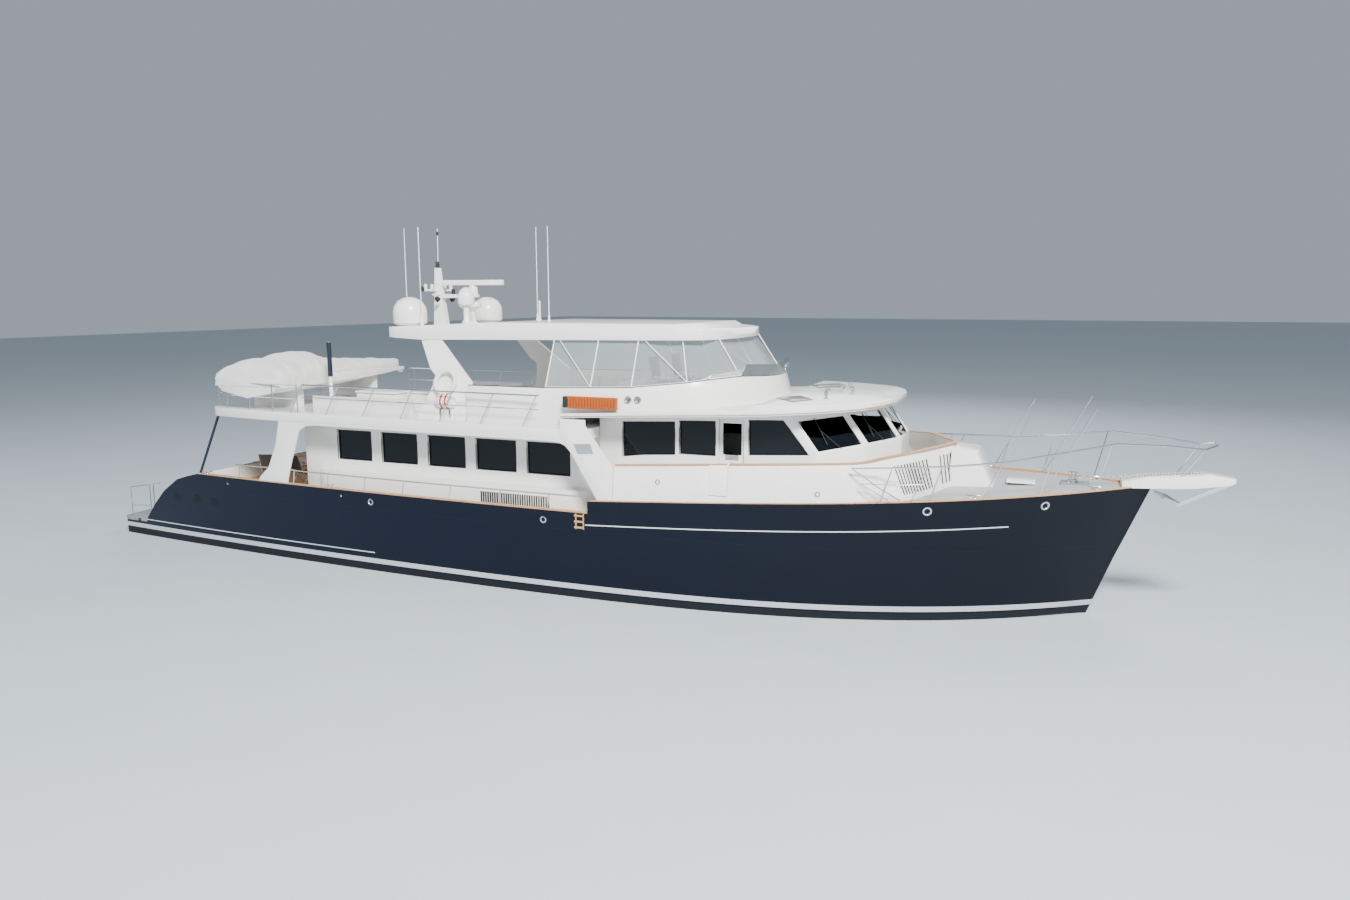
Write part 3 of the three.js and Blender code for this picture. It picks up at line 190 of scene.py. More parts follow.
lines = [between(tree, z, 0.21, 0.34)]
fine_aft = add_node(tree, "ShaderNodeMath", {"operation": "MULTIPLY"}, in_0=between(tree, z, 0.485, 0.512),
                    in_1=between(tree, x, -15.0, -5.0)).outputs[0]
rise = add_node(tree, "ShaderNodeMath", {"operation": "MULTIPLY_ADD"}, in_0=x, in_1=0.0447,
                in_2=1.773).outputs[0]
off = add_node(tree, "ShaderNodeMath", {"operation": "SUBTRACT"}, in_0=z, in_1=rise).outputs[0]
cove = add_node(tree, "ShaderNodeMath", {"operation": "MULTIPLY"}, in_0=between(tree, off, -0.012, 0.014),
                in_1=between(tree, x, 1.28, 10.65)).outputs[0]
for mask, paint in [
    (lines[0], "#b9bfc5"), (fine_aft, "#c9ced3"), (cove, "#d7dadd"),
]:
    colour = add_node(tree, "ShaderNodeMix", {"data_type": "RGBA"}, in_6=colour, in_7=linear(paint),
                      in_0=mask).outputs[2]
below = add_node(tree, "ShaderNodeMath", {"operation": "LESS_THAN"}, in_0=z, in_1=0.17).outputs[0]
colour = add_node(tree, "ShaderNodeMix", {"data_type": "RGBA"}, in_6=colour, in_7=linear("#12161b"),
                  in_0=below).outputs[2]
# white inner faces, transom stairs and shelf
inner = add_node(tree, "ShaderNodeMath", {"operation": "LESS_THAN"}, in_0=outward, in_1=-0.25).outputs[0]
inner = add_node(tree, "ShaderNodeMath", {"operation": "MULTIPLY"}, in_0=inner,
                 in_1=add_node(tree, "ShaderNodeMath", {"operation": "GREATER_THAN"}, in_0=z,
                               in_1=0.52).outputs[0]).outputs[0]
stair = add_node(tree, "ShaderNodeMath", {"operation": "MULTIPLY"}, in_0=between(tree, half, 1.495, 2.455),
                 in_1=between(tree, x, -14.0, -11.3)).outputs[0]
stair = add_node(tree, "ShaderNodeMath", {"operation": "MULTIPLY"}, in_0=stair,
                 in_1=add_node(tree, "ShaderNodeMath", {"operation": "GREATER_THAN"}, in_0=z,
                               in_1=0.52).outputs[0]).outputs[0]
fore_wall = add_node(tree, "ShaderNodeMath", {"operation": "MULTIPLY"}, in_0=between(tree, z, 1.6, 2.6),
                     in_1=between(tree, half, 0.0, 3.29)).outputs[0]
across_wall = add_node(tree, "ShaderNodeMath", {"operation": "ABSOLUTE"}, in_0=facing.outputs[0]).outputs[0]
across_wall = add_node(tree, "ShaderNodeMath", {"operation": "GREATER_THAN"}, in_0=across_wall,
                       in_1=0.7).outputs[0]
fore_wall = add_node(tree, "ShaderNodeMath", {"operation": "MULTIPLY"},
                     in_0=add_node(tree, "ShaderNodeMath", {"operation": "MULTIPLY"}, in_0=fore_wall,
                                   in_1=across_wall).outputs[0], in_1=between(tree, x, -11.9, 9.5)).outputs[0]
for mask in (inner, stair, fore_wall):
    colour = add_node(tree, "ShaderNodeMix", {"data_type": "RGBA"}, in_6=colour, in_7=linear("#e6e4e0"),
                      in_0=mask).outputs[2]
# decks
up = add_node(tree, "ShaderNodeMath", {"operation": "GREATER_THAN"}, in_0=facing.outputs[2],
              in_1=0.85).outputs[0]
teak = teak_colour(tree, place, y, 0.06)
main_deck = add_node(tree, "ShaderNodeMath", {"operation": "MULTIPLY"}, in_0=up,
                     in_1=between(tree, z, 0.45, 1.75)).outputs[0]
colour = add_node(tree, "ShaderNodeMix", {"data_type": "RGBA"}, in_6=colour, in_7=teak,
                  in_0=main_deck).outputs[2]
grit = add_node(tree, "ShaderNodeTexNoise", Vector=place, Scale=220.0, Detail=2.0).outputs[0]
grey = add_node(tree, "ShaderNodeMix", {"data_type": "RGBA"}, in_0=grit, in_6=linear("#8d9092"),
                in_7=linear("#b2b4b5"))
edge = add_node(tree, "ShaderNodeMath", {"operation": "DIVIDE"}, in_0=x, in_1=13.52).outputs[0]
edge = add_node(tree, "ShaderNodeMath", {"operation": "POWER", "use_clamp": True}, in_0=edge,
                in_1=3.4).outputs[0]
edge = add_node(tree, "ShaderNodeMath", {"operation": "MULTIPLY_ADD"}, in_0=edge, in_1=-3.42,
                in_2=3.42).outputs[0]
margin = add_node(tree, "ShaderNodeMath", {"operation": "SUBTRACT"}, in_0=edge, in_1=half).outputs[0]
margin = add_node(tree, "ShaderNodeMath", {"operation": "LESS_THAN"}, in_0=margin, in_1=0.26).outputs[0]
foredeck = add_node(tree, "ShaderNodeMath", {"operation": "MULTIPLY"}, in_0=up,
                    in_1=between(tree, z, 2.3, 3.2)).outputs[0]
colour = add_node(tree, "ShaderNodeMix", {"data_type": "RGBA"}, in_6=colour, in_7=grey.outputs[2],
                  in_0=foredeck).outputs[2]
colour = add_node(tree, "ShaderNodeMix", {"data_type": "RGBA"}, in_6=colour, in_7=teak,
                  in_0=add_node(tree, "ShaderNodeMath", {"operation": "MULTIPLY"}, in_0=foredeck,
                                in_1=margin).outputs[0]).outputs[2]
tree.links.new(colour, shader.inputs["Base Color"])
matt = add_node(tree, "ShaderNodeMix", {"data_type": "FLOAT"}, in_2=0.14, in_3=0.62)
deck_mask = add_node(tree, "ShaderNodeMath", {"operation": "MAXIMUM"},
                     in_0=add_node(tree, "ShaderNodeMath", {"operation": "MULTIPLY"}, in_0=up,
                                   in_1=up).outputs[0], in_1=below).outputs[0]
tree.links.new(deck_mask, matt.inputs[0])
tree.links.new(matt.outputs[0], shader.inputs["Roughness"])
fair = add_node(tree, "ShaderNodeTexNoise", Vector=place, Scale=0.9, Detail=2.0).outputs[0]
bump = add_node(tree, "ShaderNodeBump", Strength=0.08, Distance=0.02, Height=fair)
tree.links.new(bump.outputs[0], shader.inputs["Normal"])


def finish_node(name, material, bevel=0.0, angle=28.0):
    """Gives a CAD node its material, welds its loose triangles, rounds its edges by the bevel
    and smooths every turn below the angle."""
    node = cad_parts[name]
    node.data.materials.clear()
    node.data.materials.append(material)
    weld = node.modifiers.new("weld", "WELD")
    weld.merge_threshold = 0.0002
    if bevel:
        rounding = node.modifiers.new("rounding", "BEVEL")
        rounding.width = bevel
        rounding.segments = 2
        rounding.limit_method = "ANGLE"
        rounding.angle_limit = math.radians(angle)
    node.data.polygons.foreach_set("use_smooth", np.full(len(node.data.polygons), True))
    split = node.modifiers.new("split", "EDGE_SPLIT")
    split.split_angle = math.radians(angle)


for name in ("hull", "forward_topsides", "aft_bulwark", "transom_bulwark"):
    finish_node(name, gelcoat)


# ---- white superstructure ------------------------------------------------------------
# Cabins, decks, bulwarks, roof, hardtop and mast are glass-fibre mouldings in warm white
# gelcoat, waxed on the sides, with sanded non-skid wherever a deck is walked on.

white, tree, shader, place = new_material("waxed_white_gelcoat", IOR=1.5, Roughness=0.28)
shader.inputs["Coat Weight"].default_value = 0.35
shader.inputs["Coat Roughness"].default_value = 0.1
cloudy = add_node(tree, "ShaderNodeTexNoise", Vector=place, Scale=0.8, Detail=4.0).outputs[0]
tone = add_node(tree, "ShaderNodeMix", {"data_type": "RGBA"}, in_0=cloudy, in_6=linear("#f0eee9"),
                in_7=linear("#f8f6f2"))
streak_at = add_node(tree, "ShaderNodeMapping", Vector=place, Scale=(5.0, 5.0, 0.5))
streak = add_node(tree, "ShaderNodeTexNoise", Vector=streak_at.outputs[0], Scale=2.0, Detail=3.0).outputs[0]
faint = add_node(tree, "ShaderNodeMapRange", Value=streak, From_Min=0.58, From_Max=0.8,
                 To_Max=0.16).outputs[0]
weathered = add_node(tree, "ShaderNodeMix", {"data_type": "RGBA"}, in_6=tone.outputs[2],
                     in_7=linear("#d9d5cb"), in_0=faint).outputs[2]
facing = add_node(tree, "ShaderNodeSeparateXYZ", Vector=tree.nodes.new("ShaderNodeNewGeometry").outputs["Normal"])
walked = add_node(tree, "ShaderNodeMath", {"operation": "GREATER_THAN"}, in_0=facing.outputs[2],
                  in_1=0.97).outputs[0]
grit = add_node(tree, "ShaderNodeTexVoronoi", Vector=place, Scale=160.0).outputs["Distance"]
grit_tone = add_node(tree, "ShaderNodeMix", {"data_type": "RGBA"}, in_0=grit, in_6=linear("#cfd0cf"),
                     in_7=linear("#e4e3e0"))
tree.links.new(add_node(tree, "ShaderNodeMix", {"data_type": "RGBA"}, in_6=weathered,
                        in_7=grit_tone.outputs[2], in_0=walked).outputs[2], shader.inputs["Base Color"])
height = add_node(tree, "ShaderNodeMath", {"operation": "MULTIPLY"}, in_0=grit, in_1=walked).outputs[0]
bump = add_node(tree, "ShaderNodeBump", Strength=0.25, Distance=0.004, Height=height)
tree.links.new(bump.outputs[0], shader.inputs["Normal"])
for name in (
    "saloon_walls side_screen_starboard side_screen_port boat_deck bridge_bulwark pilothouse_walls pilothouse_roof"
    " flybridge_coaming arch_leg_starboard arch_leg_port hardtop flybridge_console radar_mast radar_scanner"
    " satellite_dome_starboard satellite_dome_port transom_gate_starboard transom_gate_port bulwark_gate_starboard"
    " bulwark_gate_port pilothouse_door_starboard pilothouse_door_port davit_column davit_boom foredeck_hatch"
    " anchor_platform tender_hull"
).split():
    finish_node(name, white, bevel=0.008)
finish_node("enclosure_frame", white, angle=50.0)


# ---- windows -------------------------------------------------------------------------
# Toughened glass, tinted nearly black, bonded behind the openings; it shows the sky and
# little of the cabin.

tinted, tree, shader, place = new_material("tinted_toughened_glass", IOR=1.52, Roughness=0.03)
shader.inputs["Specular IOR Level"].default_value = 0.25
shade = add_node(tree, "ShaderNodeTexNoise", Vector=place, Scale=0.7, Detail=1.0).outputs[0]
dark = add_node(tree, "ShaderNodeMix", {"data_type": "RGBA"}, in_0=shade, in_6=linear("#05080c"),
                in_7=linear("#0b1118"))
tree.links.new(dark.outputs[2], shader.inputs["Base Color"])
for name in "pilothouse_glass saloon_glass_starboard saloon_glass_port saloon_door_starboard saloon_door_port".split():
    finish_node(name, tinted)
smoked, tree, shader, place = new_material("smoked_acrylic", IOR=1.49, Roughness=0.08, Alpha=0.72)
mist = add_node(tree, "ShaderNodeTexNoise", Vector=place, Scale=3.0).outputs[0]
tone = add_node(tree, "ShaderNodeMix", {"data_type": "RGBA"}, in_0=mist, in_6=linear("#4b5459"),
                in_7=linear("#69757b"))
tree.links.new(tone.outputs[2], shader.inputs["Base Color"])
finish_node("flybridge_screen", smoked)
curtain, tree, shader, place = new_material("clear_curtain_vinyl", IOR=1.45, Roughness=0.07, Alpha=0.13)
ripple_relief_and_sheen = add_node(tree, "ShaderNodeTexNoise", Vector=place, Scale=1.6, Detail=2.0).outputs[0]
# partly painted sheen: the faint milky tint is the vinyl's own, but it is painted lighter on the ripple crests and
# darker in the troughs of the noise that drives the bump
tone = add_node(tree, "ShaderNodeMix", {"data_type": "RGBA"}, in_0=ripple_relief_and_sheen, in_6=linear("#cfd9de"),
                in_7=linear("#e8eef0"))
tree.links.new(tone.outputs[2], shader.inputs["Base Color"])
bump = add_node(tree, "ShaderNodeBump", Strength=0.5, Distance=0.02, Height=ripple_relief_and_sheen)
tree.links.new(bump.outputs[0], shader.inputs["Normal"])
finish_node("enclosure_glazing", curtain)


# ---- rails, anchor and windlass ---------------------------------------------------------
# Polished stainless tube, welded at the joints and through-bolted on round feet; the anchor
# and windlass are cast and polished steel.

stainless, tree, shader, place = new_material("polished_stainless", Metallic=1.0, Roughness=0.16)
film = add_node(tree, "ShaderNodeTexNoise", Vector=place, Scale=9.0, Detail=3.0).outputs[0]
tone = add_node(tree, "ShaderNodeMix", {"data_type": "RGBA"}, in_0=film, in_6=linear("#c3c8cc"),
                in_7=linear("#e2e5e7"))
tree.links.new(tone.outputs[2], shader.inputs["Base Color"])
rub = add_node(tree, "ShaderNodeMapRange", Value=film, To_Min=0.1, To_Max=0.26).outputs[0]
tree.links.new(rub, shader.inputs["Roughness"])
for name in (
    "side_rail_starboard side_rail_port boat_deck_rail_starboard boat_deck_rail_port"
    " bow_rail_starboard bow_rail_port windlass_base windlass_drum anchor"
).split():
    finish_node(name, stainless, angle=50.0)


# ---- running gear --------------------------------------------------------------------
# Propellers, shaft brackets and rudders are cast nickel-aluminium bronze, ground smooth and
# gone brown in the water.

bronze, tree, shader, place = new_material("cast_bronze", Metallic=1.0, Roughness=0.35)
skin = add_node(tree, "ShaderNodeTexNoise", Vector=place, Scale=14.0, Detail=5.0).outputs[0]
tone = add_node(tree, "ShaderNodeMix", {"data_type": "RGBA"}, in_0=skin, in_6=linear("#8a6a3c"),
                in_7=linear("#b9945a"))
tree.links.new(tone.outputs[2], shader.inputs["Base Color"])
bump = add_node(tree, "ShaderNodeBump", Strength=0.2, Distance=0.004, Height=skin)
tree.links.new(bump.outputs[0], shader.inputs["Normal"])
for name in "propeller_{0} shaft_bracket_{0} rudder_{0}".format("starboard").split():
    finish_node(name, bronze, bevel=0.004)
    finish_node(name.replace("starboard", "port"), bronze, bevel=0.004)


# ---- swim platform -------------------------------------------------------------------
# The platform deck is laid in grey synthetic planking over the moulded hull extension.

planking, tree, shader, place = new_material("grey_synthetic_planking", Roughness=0.6)
split = add_node(tree, "ShaderNodeSeparateXYZ", Vector=place)
count = add_node(tree, "ShaderNodeMath", {"operation": "DIVIDE"}, in_0=split.outputs[1],
                 in_1=0.075).outputs[0]
part = add_node(tree, "ShaderNodeMath", {"operation": "FRACT"}, in_0=count).outputs[0]
seam = add_node(tree, "ShaderNodeMath", {"operation": "LESS_THAN"}, in_0=part, in_1=0.08).outputs[0]
worn = add_node(tree, "ShaderNodeTexNoise", Vector=place, Scale=7.0, Detail=4.0).outputs[0]
tone = add_node(tree, "ShaderNodeMix", {"data_type": "RGBA"}, in_0=worn, in_6=linear("#73777a"),
                in_7=linear("#989b9d"))
tree.links.new(add_node(tree, "ShaderNodeMix", {"data_type": "RGBA"}, in_6=tone.outputs[2],
                        in_7=linear("#34373a"), in_0=seam).outputs[2], shader.inputs["Base Color"])
finish_node("swim_platform", planking, bevel=0.02)


# ---- helm console and flybridge settee ---------------------------------------------------
# The pilothouse console is covered in dark anti-glare laminate; the settee is upholstered in
# pale outdoor cloth.

laminate, tree, shader, place = new_material("antiglare_laminate", Roughness=0.55)
fleck = add_node(tree, "ShaderNodeTexNoise", Vector=place, Scale=60.0, Detail=3.0).outputs[0]
tone = add_node(tree, "ShaderNodeMix", {"data_type": "RGBA"}, in_0=fleck, in_6=linear("#1a1f26"),
                in_7=linear("#2a313a"))
tree.links.new(tone.outputs[2], shader.inputs["Base Color"])
finish_node("helm_console", laminate, bevel=0.02)
cloth, tree, shader, place = new_material("woven_outdoor_cloth", Roughness=0.85)
shader.inputs["Sheen Weight"].default_value = 0.3
warp = add_node(tree, "ShaderNodeTexWave", Vector=place, Scale=90.0, Distortion=0.6).outputs[1]
tone = add_node(tree, "ShaderNodeMix", {"data_type": "RGBA"}, in_0=warp, in_6=linear("#cfc7b8"),
                in_7=linear("#ded8cb"))
tree.links.new(tone.outputs[2], shader.inputs["Base Color"])
finish_node("flybridge_settee", cloth, bevel=0.03)


# ---- canvas ----------------------------------------------------------------------------
# White acrylic canvas, woven and faintly creased, for the cover that is thrown over the tender.
# The creases are drawn coarser than the weave so that they show, with painted shade in their hollows.

canvas, tree, shader, place = new_material("acrylic_canvas", Roughness=0.9)
shader.inputs["Sheen Weight"].default_value = 0.4
weave = add_node(tree, "ShaderNodeTexWave", Vector=place, Scale=70.0).outputs[1]
fold_at = add_node(tree, "ShaderNodeMapping", Vector=place, Scale=(1.0, 2.2, 1.0))
fold_relief_and_shade = add_node(tree, "ShaderNodeTexNoise", Vector=fold_at.outputs[0], Scale=2.4, Detail=4.0).outputs[0]
# painted shade: the canvas is coloured darker (#d3d1cb) in the hollows of the fold noise and lighter (#f0efeb) on its
# crests; the same noise drives the bump
tone = add_node(tree, "ShaderNodeMix", {"data_type": "RGBA"}, in_0=fold_relief_and_shade, in_6=linear("#d3d1cb"),
                in_7=linear("#f0efeb"))
tree.links.new(tone.outputs[2], shader.inputs["Base Color"])
height = add_node(tree, "ShaderNodeMath", {"operation": "MULTIPLY_ADD"}, in_0=weave, in_1=0.03).outputs[0]
tree.links.new(fold_relief_and_shade, height.node.inputs[2])
bump = add_node(tree, "ShaderNodeBump", Strength=0.6, Distance=0.12, Height=height)
tree.links.new(bump.outputs[0], shader.inputs["Normal"])
finish_node("tender_cover", canvas, angle=60.0)


# ---- teak cap rails --------------------------------------------------------------------
# Varnished teak caps are bedded on the bulwark tops, aft along the navy bulwark and forward
# round the Portuguese bridge; a short length rides on each side gate.

teak_cap, tree, shader, place = new_material("oiled_teak", Roughness=0.45)
across = add_node(tree, "ShaderNodeSeparateXYZ", Vector=place).outputs[1]
shade = teak_colour(tree, place, across, 5.0)
tree.links.new(shade, shader.inputs["Base Color"])


def half_beam(x):
    """Half the hull's breadth at the sheer: full amidships, easing aft with the square of the
    length and forward with its 3.4th power."""
    x = np.asarray(x, float)
    fore = 3.42 * (1 - (np.clip(x, 0, 13.52) / 13.52) ** 3.4)
    return np.where(x < 0, 3.42 - 0.45 * (x / 11.5) ** 2, fore)


def sheer(x):
    """Height of the forward sheer: 2.4 m at the step, rising 0.65 m to the stem."""
    t = np.clip((np.asarray(x, float) - 1.3) / 12.22, 0, 1)
    return 2.4 + 0.65 * t**0.9


def swept(path, profile, closed=False):
    """A profile carried along a path: each profile point (a, b) goes a sideways and b upwards
    from the path, square to its direction. Gives the points and faces, ends capped."""
    path = np.asarray(path, float)
    profile = np.asarray(profile, float)
    if closed:
        ahead = np.roll(path, -1, 0) - np.roll(path, 1, 0)
    else:
        ahead = np.gradient(path, axis=0)
    ahead /= np.linalg.norm(ahead, axis=1)[:, None]
    side = np.cross([0, 0, 1.0], ahead)
    flat = np.linalg.norm(side, axis=1) < 0.05
    side[flat] = [0, 1.0, 0]
    side /= np.linalg.norm(side, axis=1)[:, None]
    rise = np.cross(ahead, side)
    points = path[:, None] + profile[None, :, :1] * side[:, None] + profile[None, :, 1:] * rise[:, None]
    n, m = len(path), len(profile)
    i = np.arange(n if closed else n - 1)[:, None] * np.ones(m, int)[None]
    j = np.arange(m)[None] * np.ones(len(i), int)[:, None]
    i2, j2 = (i + 1) % n, (j + 1) % m
    faces = np.stack([i * m + j, i2 * m + j, i2 * m + j2, i * m + j2], -1).reshape(-1, 4)[:, ::-1].tolist()
    if not closed:
        faces += [list(range(m)), list(range((n - 1) * m, n * m))[::-1]]
    return points.reshape(-1, 3), faces


def circle(radius, count=8, flatten=1.0):
    """Points of a circle, flattened upwards by a factor."""
    t = np.arange(count) / count * 2 * np.pi
    return np.stack([radius * np.cos(t), radius * flatten * np.sin(t)], 1)


def slab(width, height, soft=0.25):
    """Points of a rectangle with its corners cut by a share of the height."""
    w, h, c = width / 2, height / 2, height * soft
    return [(w, -h + c), (w, h - c), (w - c, h), (-w + c, h), (-w, h - c), (-w, -h + c), (-w + c, -h),
            (w - c, -h)]


def gather(parts):
    """Joins several (points, faces) surfaces into one."""
    points, faces, start = [], [], 0
    for p, f in parts:
        points.append(np.asarray(p, float).reshape(-1, 3))
        faces += [[k + start for k in face] for face in f]
        start += len(points[-1])
    return np.concatenate(points), faces


def build(name, parts, body, material, smooth=True, bevel=0.0):
    """Makes one piece from several surfaces, its faces turned outwards."""
    points, faces = gather(parts)
    mesh = bpy.data.meshes.new(name)
    mesh.from_pydata(points.tolist(), [], faces)
    b = bmesh.new()
    b.from_mesh(mesh)
    bmesh.ops.recalc_face_normals(b, faces=b.faces)
    b.to_mesh(mesh)
    b.free()
    mesh.polygons.foreach_set("use_smooth", np.full(len(mesh.polygons), smooth))
    mesh.materials.append(material)
    piece = bpy.data.objects.new(name, mesh)
    bpy.context.scene.collection.objects.link(piece)
    if bevel:
        rounding = piece.modifiers.new("rounding", "BEVEL")
        rounding.width, rounding.segments, rounding.limit_method = bevel, 2, "ANGLE"
    split = piece.modifiers.new("split", "EDGE_SPLIT")
    split.split_angle = math.radians(40)
    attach(piece, body)
    return piece


def mirrored(part):
    """The same surface on the other side of the centreline."""
    points, faces = part
    return np.asarray(points) * [1, -1, 1], [face[::-1] for face in faces]


aft = np.linspace(-11.4, 1.34, 60)
line = np.stack([aft, -(half_beam(aft) - 0.062), np.full(60, 2.129)], 1)
cap = swept(line, slab(0.118, 0.036))
build("aft_cap_rail", [cap, mirrored(cap)], "yacht", teak_cap)

cap_foot_x = np.linspace(2.0, 7.4, 10)
cap_x = np.concatenate([cap_foot_x, [7.70, 7.96, 8.33, 8.64, 9.04, 9.30]])
cap_y = np.concatenate([half_beam(cap_foot_x) - 0.162, [2.70, 2.37, 1.98, 1.62, 0.74, 0.24]])
cap_z = np.concatenate([np.interp(cap_foot_x, [1.98, 4.62, 7.37], [3.27, 3.44, 3.58]),
                        [3.605, 3.65, 3.70, 3.74, 3.76, 3.778]])


def along_cap(x0, x1, count):
    """Points on the starboard side of the bridge cap between two lengths."""
    x = np.linspace(x0, x1, count)
    return np.stack([x, -np.interp(x, cap_x, cap_y) + 0.045, np.interp(x, cap_x, cap_z) + 0.016], 1)


fore = along_cap(4.775, 9.30, 40)
loop = np.concatenate([fore, (fore * [1, -1, 1])[::-1]])
back = swept(along_cap(2.0, 4.298, 14), slab(0.12, 0.034))
build("bridge_cap_rail", [swept(loop, slab(0.12, 0.034)), back, mirrored(back)], "yacht",
      teak_cap)
gate_cap = swept(along_cap(4.33, 4.70, 5) + [0, 0.02, 0], slab(0.05, 0.034))
build("gate_cap_starboard", [gate_cap], "bulwark_gate_starboard", teak_cap)
build("gate_cap_port", [mirrored(gate_cap)], "bulwark_gate_port", teak_cap)

# The brow carries a slim teak moulding too.
brow = np.array([[0.62, 3.28], [5.0, 3.31], [5.66, 3.24], [6.6, 2.89], [7.25, 2.47], [7.57, 2.19],
                 [7.9, 1.49], [8.03, 0.74], [8.03, 0.0]])
brow_z = 4.34 + 0.0514 * (brow[:, 0] - 0.6) + 0.03
edge = np.column_stack([brow[:, 0], -brow[:, 1], brow_z])
edge = np.concatenate([edge, (edge[:-1] * [1, -1, 1])[::-1]])
fine = np.concatenate([np.linspace(edge[k], edge[k + 1], 6)[:-1] for k in range(len(edge) - 1)] + [edge[-1:]])
build("brow_moulding", [swept(fine, slab(0.022, 0.05))], "yacht", teak_cap)


# ---- window frames ----------------------------------------------------------------------
# A black rubber gasket lines the saloon and pilothouse side windows; slim white frames in the model part the raked
# front panes.

rubber, tree, shader, place = new_material("moulded_rubber", Roughness=0.7)
dust = add_node(tree, "ShaderNodeTexNoise", Vector=place, Scale=30.0, Detail=3.0).outputs[0]
tone = add_node(tree, "ShaderNodeMix", {"data_type": "RGBA"}, in_0=dust, in_6=linear("#15171a"),
                in_7=linear("#26292d"))
tree.links.new(tone.outputs[2], shader.inputs["Base Color"])


def ring_of(corners, radius=0.011, fill=5):
    """A thin gasket round a closed row of corners."""
    c = np.asarray(corners, float)
    path = np.concatenate([np.linspace(c[k], c[(k + 1) % len(c)], fill)[:-1] for k in range(len(c))])
    return swept(path, circle(radius, 6), closed=True)


gaskets = []
for a, b in [(-6.74, -5.60), (-5.27, -4.12), (-3.78, -2.63), (-2.31, -1.12), (-0.81, 0.41)]:
    notch = [[b, 3.38], [b - 0.2, 3.58]] if b == 0.41 else [[b, 3.58]]
    outline = [[a, 2.78], [b, 2.78], *notch, [a, 3.58]]
    gaskets.append(ring_of([[p[0], -2.447, p[1]] for p in outline]))
for outline in (
    [[1.91, 3.40], [2.43, 3.47], [3.25, 3.52], [3.25, 4.29], [1.91, 4.23]],
    [[3.36, 3.55], [4.25, 3.55], [4.25, 4.35], [3.36, 4.32]],
    [[5.05, 3.62], [6.44, 3.70], [5.84, 4.44], [5.04, 4.41]],
):
    gaskets.append(ring_of([[p[0], -2.597, p[1]] for p in outline]))
build("window_gaskets", gaskets + [mirrored(g) for g in gaskets], "yacht", rubber)


def tube(points, radius, sides=8):
    """A round bar of one radius carried along a row of points."""
    return swept(points, circle(radius, sides))


def turned(base, axis, outline, sides=20):
    """A turned shape: each outline point (d, r) makes a circle of radius r at d along the axis."""
    axis = np.asarray(axis, float) / np.linalg.norm(axis)
    one = np.cross(axis, [0, 0, 1.0] if abs(axis[2]) < 0.9 else [1.0, 0, 0])
    one /= np.linalg.norm(one)
    two = np.cross(axis, one)
    t = np.arange(sides) / sides * 2 * np.pi
    wheel = np.cos(t)[:, None] * one + np.sin(t)[:, None] * two
    d, r = np.asarray(outline, float).T
    points = np.asarray(base, float) + d[:, None, None] * axis + r[:, None, None] * wheel[None]
    i, j = np.meshgrid(np.arange(len(d) - 1), np.arange(sides), indexing="ij")
    k = (j + 1) % sides
    faces = np.stack([i * sides + j, i * sides + k, (i + 1) * sides + k, (i + 1) * sides + j],
                     -1).reshape(-1, 4).tolist()
    faces += [list(range(sides))[::-1], list(range((len(d) - 1) * sides, len(d) * sides))]
    return points.reshape(-1, 3), faces


def block(x0, x1, y0, y1, z0, z1):
    """Eight corners and six faces of a straight block."""
    p = [(x, y, z) for x in (x0, x1) for y in (y0, y1) for z in (z0, z1)]
    return np.array(p, float), [[0, 1, 3, 2], [4, 6, 7, 5], [0, 4, 5, 1], [2, 3, 7, 6], [0, 2, 6, 4],
                                [1, 5, 7, 3]]


def plate(corners, thick):
    """A flat plate: the corners, and the same corners moved its thickness along its normal."""
    c = np.asarray(corners, float)
    normal = np.cross(c[1] - c[0], c[2] - c[0])
    normal /= np.linalg.norm(normal)
    n = len(c)
    faces = [list(range(n))[::-1], list(range(n, 2 * n))]
    faces += [[k, (k + 1) % n, n + (k + 1) % n, n + k] for k in range(n)]
    return np.concatenate([c, c + normal * thick]), faces


def land(node, start, direction):
    """Where a straight line from a start meets a CAD node: the point and its outward normal."""
    found, point, normal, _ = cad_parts[node].ray_cast(Vector(start), Vector(direction))
    return (np.array(point), np.array(normal)) if found else (np.array(start, float),
                                                              -np.array(direction, float))


# ---- hull fittings ----------------------------------------------------------------------
# Cast stainless fairleads, drain rings and dark fixed ports are let into the topsides and
# bedded in sealant.

chrome = []
dark_ports = []
for s in (-1, 1):
    for node, x, z, r in [
        ("aft_bulwark", -5.01, 1.87, 0.085), ("aft_bulwark", 0.16, 1.87, 0.085),
                          ("forward_topsides", 9.02, 2.62, 0.1),
        ("forward_topsides", 11.36, 2.72, 0.1), ("aft_bulwark", -10.2, 1.93, 0.03),
                          ("aft_bulwark", -6.0, 1.95, 0.03),
    ]:
        at, out = land(node, (x, s * 6, z), (0, -s, 0))
        ring = [(-0.004, r), (0.006, r), (0.010, r * 0.9), (0.010, r * 0.68), (0.002, r * 0.6),
                (-0.004, r * 0.58)]
        chrome.append(turned(at, out, ring, 22))
    for x in (-12.35, -11.45, -10.75):
        at, out = land("hull", (x, s * 6, 1.36), (0, -s, 0))
        c = at + out * 0.001
        w, h = 0.16, 0.1
        dark_ports.append(plate([c + [-w, 0, -h], c + [w, 0.0, -h], c + [w, 0, h], c + [-w, 0, h]][:: -s],
                                0.006))
build("hull_fairleads", chrome, "yacht", stainless)
build("quarter_ports", dark_ports, "yacht", tinted)

